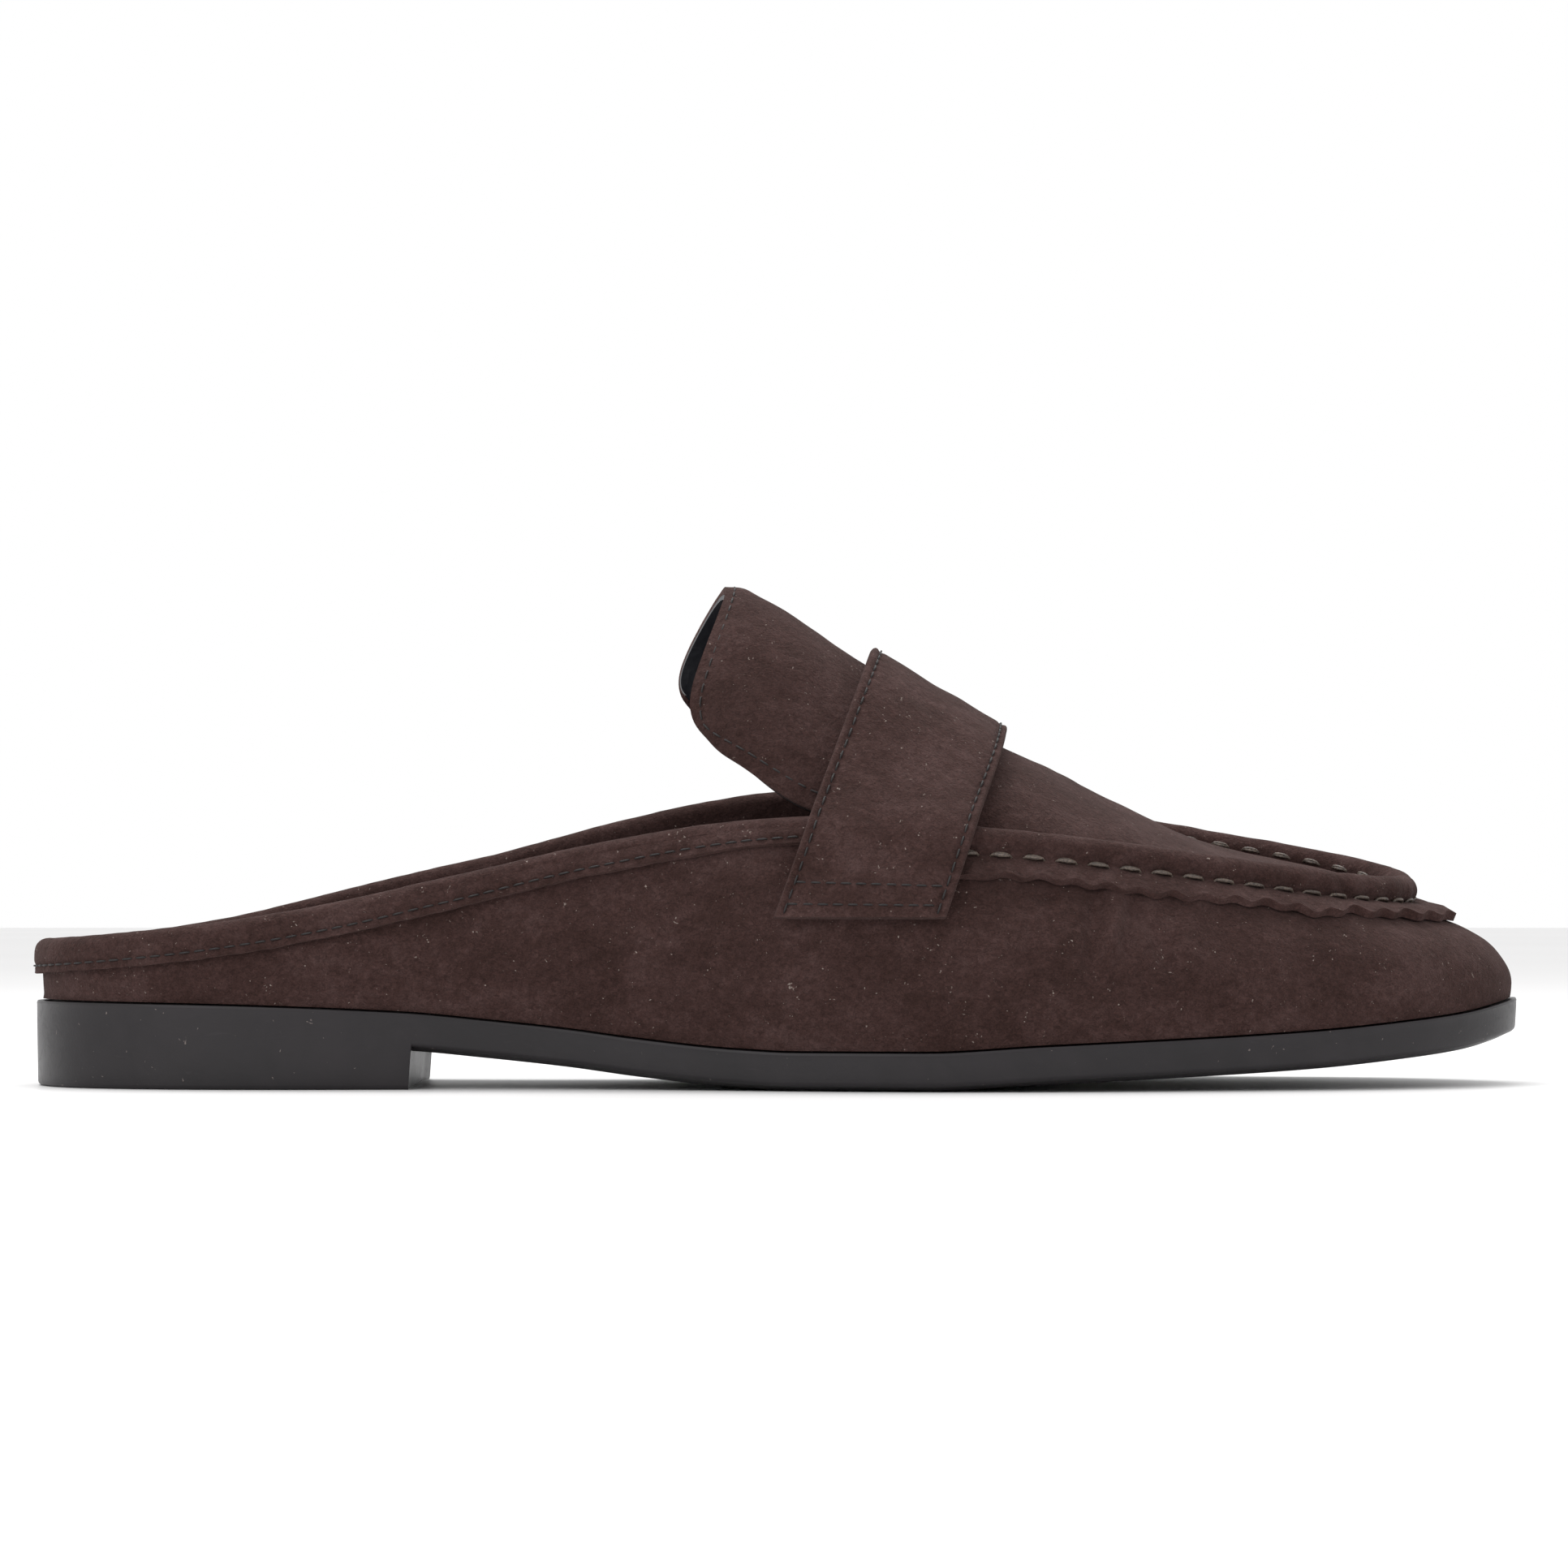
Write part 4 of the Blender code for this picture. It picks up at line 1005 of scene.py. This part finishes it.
class StrapSheet:
    """Smooth sheet through the strap's lines; w runs across from the rear edge, q along."""

    def __init__(self, under):
        tree = tree_of(under)
        self.grid = np.array([strap_line(tree, share, 39) for share in np.linspace(0, 1, 8)])

    def point(self, w, q):
        w, q = np.broadcast_arrays(np.asarray(w, float), np.asarray(q, float))
        rows, columns = self.grid.shape[:2]
        wi, wf = self.cell(w, rows)
        qi, qf = self.cell(q, columns)
        total = np.zeros(w.shape + (3,))
        for i, wa in zip(range(-1, 3), self.weights(wf)):
            for j, qa in zip(range(-1, 3), self.weights(qf)):
                r = np.clip(wi + i, 0, rows - 1)
                c = np.clip(qi + j, 0, columns - 1)
                total += self.grid[r, c] * (wa * qa)[..., None]
        return total

    @staticmethod
    def cell(share, count):
        place = np.clip(share, 0, 1) * (count - 1)
        low = np.clip(np.floor(place).astype(int), 0, count - 2)
        return low, place - low

    @staticmethod
    def weights(t):
        """Cubic B-spline weights, which smooth the lines a little."""
        return ((1 - t) ** 3 / 6, (3 * t ** 3 - 6 * t ** 2 + 4) / 6,
                (-3 * t ** 3 + 3 * t ** 2 + 3 * t + 1) / 6, t ** 3 / 6)

    def frame(self, w, q):
        w, q = np.broadcast_arrays(np.asarray(w, float), np.asarray(q, float))
        step = 0.01
        ahead = self.point(np.clip(w + step, 0, 1), q) - self.point(np.clip(w - step, 0, 1), q)
        along = self.point(w, np.clip(q + step, 0, 1)) - self.point(w, np.clip(q - step, 0, 1))
        return self.point(w, q), unit(np.cross(ahead, along))


def dress_strap(sheet):
    """Folded strap with rounded long edges and grooves for its stitches."""
    along = np.linspace(0, 1, 260)[:, None]
    half = STRAP_THICKNESS / 2
    round_share = half / STRAP_WIDTH
    profile = []
    for angle in np.radians(np.linspace(-90, 90, 9)):
        profile.append((round_share * (1 - math.cos(angle)), half * (1 + math.sin(angle))))
    top = [(w, STRAP_THICKNESS) for w in np.linspace(round_share, 1 - round_share, 72)[1:-1]]
    far = [(1 - w, h) for w, h in profile[::-1]]
    low = [(w, 0.0) for w in np.linspace(1 - round_share, round_share, 14)[1:-1]]
    ring = np.array(profile + top + far + low)
    w, q = np.broadcast_arrays(ring[None, :, 0], along)
    points, normal = sheet.frame(w, q)
    height = np.broadcast_to(ring[None, :, 1], w.shape).copy()
    upper_face = height > 0.7 * STRAP_THICKNESS
    from_edge = np.minimum(w, 1 - w) * STRAP_WIDTH
    groove = 0.00024 * np.exp(-((from_edge - STRAP_SEAM_INSET) / 0.00050) ** 2)
    swell = 0.00013 * np.exp(-((from_edge - 0.0010) / 0.0007) ** 2)
    uneven = 0.00013 * waves(points, 0.016, 51) + 0.00005 * waves(points, 0.005, 52)
    height += np.where(upper_face, uneven + swell - groove, 0.0)
    rings = points + normal * height[..., None]
    piece = loft("strap_band", rings, False, [SUEDE_STRAP, CUT_EDGE])
    return settle(piece, "strap_suede", "saddle_strap")


# Threads


def stitch_mesh(name, starts, ends, normals, radius, rise, finish, slot, strands=1, sides=6, rings=7):
    """Many short stitches as one mesh: each rises out of the leather, lies on it and dives back."""
    verts = []
    faces = []
    t = np.linspace(0, 1, rings)
    for start, end, normal in zip(starts, ends, normals):
        run = end - start
        long = np.linalg.norm(run)
        run = run / long
        side = np.cross(normal, run)
        side /= np.linalg.norm(side)
        for strand in range(strands):
            offset = (strand - (strands - 1) / 2) * radius * 1.5
            wander = offset * np.cos(np.pi * (t - 0.5) * 1.1)
            over = rise * (1 - (2 * t - 1) ** 4) - radius * 1.3 * (2 * t - 1) ** 8
            over = over + radius * 0.35 * math.cos(strand * 2.1)
            line = start + np.outer(t * long, run) + np.outer(wander, side) + np.outer(over, normal)
            thick = radius * (0.72 + 0.28 * np.sin(np.pi * t))
            base = len(verts)
            for k in range(rings):
                for m in range(sides):
                    angle = 2 * math.pi * m / sides
                    aim = math.cos(angle) * side + math.sin(angle) * normal
                    verts.append(line[k] + aim * thick[k])
            faces += grid_faces(rings, sides, False, True, base)
            faces.append([base + m for m in range(sides)])
            faces.append([base + (rings - 1) * sides + m for m in range(sides)][::-1])
    piece = make_piece(name, np.array(verts), faces, [finish], None, 80)
    return settle(piece, slot)


def along_line(points, normals, pitch, share, shift=0.0):
    """Starts, ends and normals of stitches of one pitch laid along a line of points."""
    run = run_length(points)
    count = int(run[-1] / pitch)
    begin = shift * pitch + np.arange(count) * pitch
    begin = begin[begin + pitch * share < run[-1]]
    finish = begin + pitch * share
    middle = (begin + finish) / 2

    def read(values, places):
        return np.column_stack([np.interp(places, run, values[:, k]) for k in range(3)])

    return read(points, begin), read(points, finish), unit(read(normals, middle))


def dress_threads(sheet):
    """Hand stitches along the roll and machine stitches on binding, strap and tongue."""
    u = SEAM_PLACES[8:-8]
    point, normal = wall_frame(u, height_share(u, 0.0004))
    line = point + normal * (GAP + FLANGE_THICKNESS - THREAD_SINK)
    stitches = along_line(line, unit(normal * 0.8 + UP * 0.35), STITCH_PITCH, 0.72, 0.14)
    stitch_mesh("hand_stitches", *stitches, 0.00030, 0.00034, THREAD_HAND, "roll_suede", 3, 8, 9)
    out = rim_outward(u)
    line = np.column_stack([look_up("rim", u), look_up("crest", u) - APRON_SINK + 0.0007])
    line -= out * (ROLL_RADIUS + 0.00005)
    stitches = along_line(line, UP * 0.7 - out * 0.7, STITCH_PITCH, 0.6, 0.2)
    stitch_mesh("hand_stitches_inside", *stitches, 0.00026, 0.00024, THREAD_HAND, "roll_suede", 2)
    u = places_between(at_length(BINDING_END_SHARE), 1200, False)[6:-6]
    point, normal = wall_frame(u, height_share(u, BINDING_LENGTH - BINDING_SEAM_INSET))
    line = point + normal * (GAP + BINDING_THICKNESS - THREAD_SINK)
    stitches = along_line(line, normal, BINDING_PITCH, FINE_SHARE)
    stitch_mesh("binding_stitches", *stitches, 0.00017, 0.00012, THREAD_FINE, "binding")
    # Seams of the strap: both long edges, then two across each end, and how deep each thread sinks
    inset = STRAP_SEAM_INSET / STRAP_WIDTH
    seams = [(w, np.linspace(0.008, 0.992, 500), 0.00012) for w in (inset, 1 - inset)]
    seams += [(np.linspace(inset, 1 - inset, 160), q, 0.00004) for q in (0.022, 0.052, 0.948, 0.978)]
    sets = []
    for w, q, sink in seams:
        point, normal = sheet.frame(w, q)
        line = point + normal * (STRAP_THICKNESS - sink)
        sets.append(along_line(line, normal, FINE_PITCH, FINE_SHARE))
    stitches = [np.concatenate([each[k] for each in sets]) for k in range(3)]
    stitch_mesh("strap_stitches", *stitches, 0.00018, 0.00014, THREAD_FINE, "strap_suede")
    # Seam of the tongue in rib rows and half widths: along one side, round the corner and across
    steps = np.linspace(0, 1, 60)
    turns = steps * math.pi / 2
    side = [(3.6 - 3.0 * s, -0.93) for s in steps]
    corner = [(0.6 - 0.22 * math.sin(turn), -0.93 + 0.14 * (1 - math.cos(turn))) for turn in turns]
    across = [(0.38, -0.79 + 1.58 * s) for s in steps]
    home = [(a, -v) for a, v in (side + corner)[::-1]]
    path = np.array(side + corner + across + home)
    stitches = along_line(*apron_frame(path[:, 0], path[:, 1]), FINE_PITCH, FINE_SHARE)
    stitch_mesh("tongue_stitches", *stitches, 0.00017, 0.00012, THREAD_FINE, "apron_suede")


# Camera, light and floor


def set_camera():
    """The photograph's viewpoint: low beside the shoe, on its outer side."""
    camera_data = bpy.data.cameras.new("camera")
    camera_data.lens = LENS
    camera_data.sensor_width = SENSOR
    camera = bpy.data.objects.new("camera", camera_data)
    camera.location = CAMERA_PLACE
    tilt = math.atan(SIGHT_RISE / FOCAL_PIXELS)
    camera.rotation_euler = (math.radians(90) + tilt, 0, 0)
    bpy.context.scene.collection.objects.link(camera)
    bpy.context.scene.camera = camera


def add_area(name, place, aim, size, power, colour=(1, 1, 1)):
    """Soft rectangular light aimed at a point."""
    data = bpy.data.lights.new(name, "AREA")
    data.shape = "RECTANGLE"
    data.size, data.size_y = size
    data.energy = power
    data.color = colour
    lamp = bpy.data.objects.new(name, data)
    lamp.location = place
    lamp.rotation_euler = (Vector(aim) - Vector(place)).to_track_quat("-Z", "Y").to_euler()
    bpy.context.scene.collection.objects.link(lamp)


def set_studio():
    """White world, soft overhead light and a pale floor."""
    world = bpy.data.worlds.new("studio")
    bpy.context.scene.world = world
    world.use_nodes = True
    back = world.node_tree.nodes["Background"]
    back.inputs["Color"].default_value = (1.0, 1.0, 1.0, 1.0)
    back.inputs["Strength"].default_value = 1.0
    add_area("overhead", (-0.10, 0.22, 0.90), (0, 0, 0.02), (0.8, 0.5), 7.0)
    add_area("front", (-0.45, -0.8, 0.50), (0, 0, 0.03), (0.5, 0.4), 2.0)
    mesh = bpy.data.meshes.new("floor")
    corners = [(x * FLOOR_HALF, y * FLOOR_HALF, 0) for x, y in ((-1, -1), (1, -1), (1, 1), (-1, 1))]
    mesh.from_pydata(corners, [], [(0, 1, 2, 3)])
    floor = bpy.data.objects.new("floor", mesh)
    floor.location.z = -FLOOR_DROP
    s = Shader("pale_floor")
    tone = s.noise(0.5, 1.0, 0.4)
    colour = s.blend(s.span(tone, 0.3, 0.7), (0.80, 0.795, 0.795), (0.82, 0.815, 0.815))
    s.link(colour, s.out.inputs["Base Color"])
    s.out.inputs["Roughness"].default_value = 0.42
    mesh.materials.append(s.material)
    bpy.context.scene.collection.objects.link(floor)
    bpy.context.scene.view_settings.view_transform = "Standard"


set_camera()
set_studio()
dress_outsole()
dress_insole()
wall = dress_upper()
roll = dress_roll()
binding = dress_binding()
apron = dress_apron()
strap_sheet = StrapSheet([wall, binding, roll, apron])
dress_strap(strap_sheet)
dress_threads(strap_sheet)
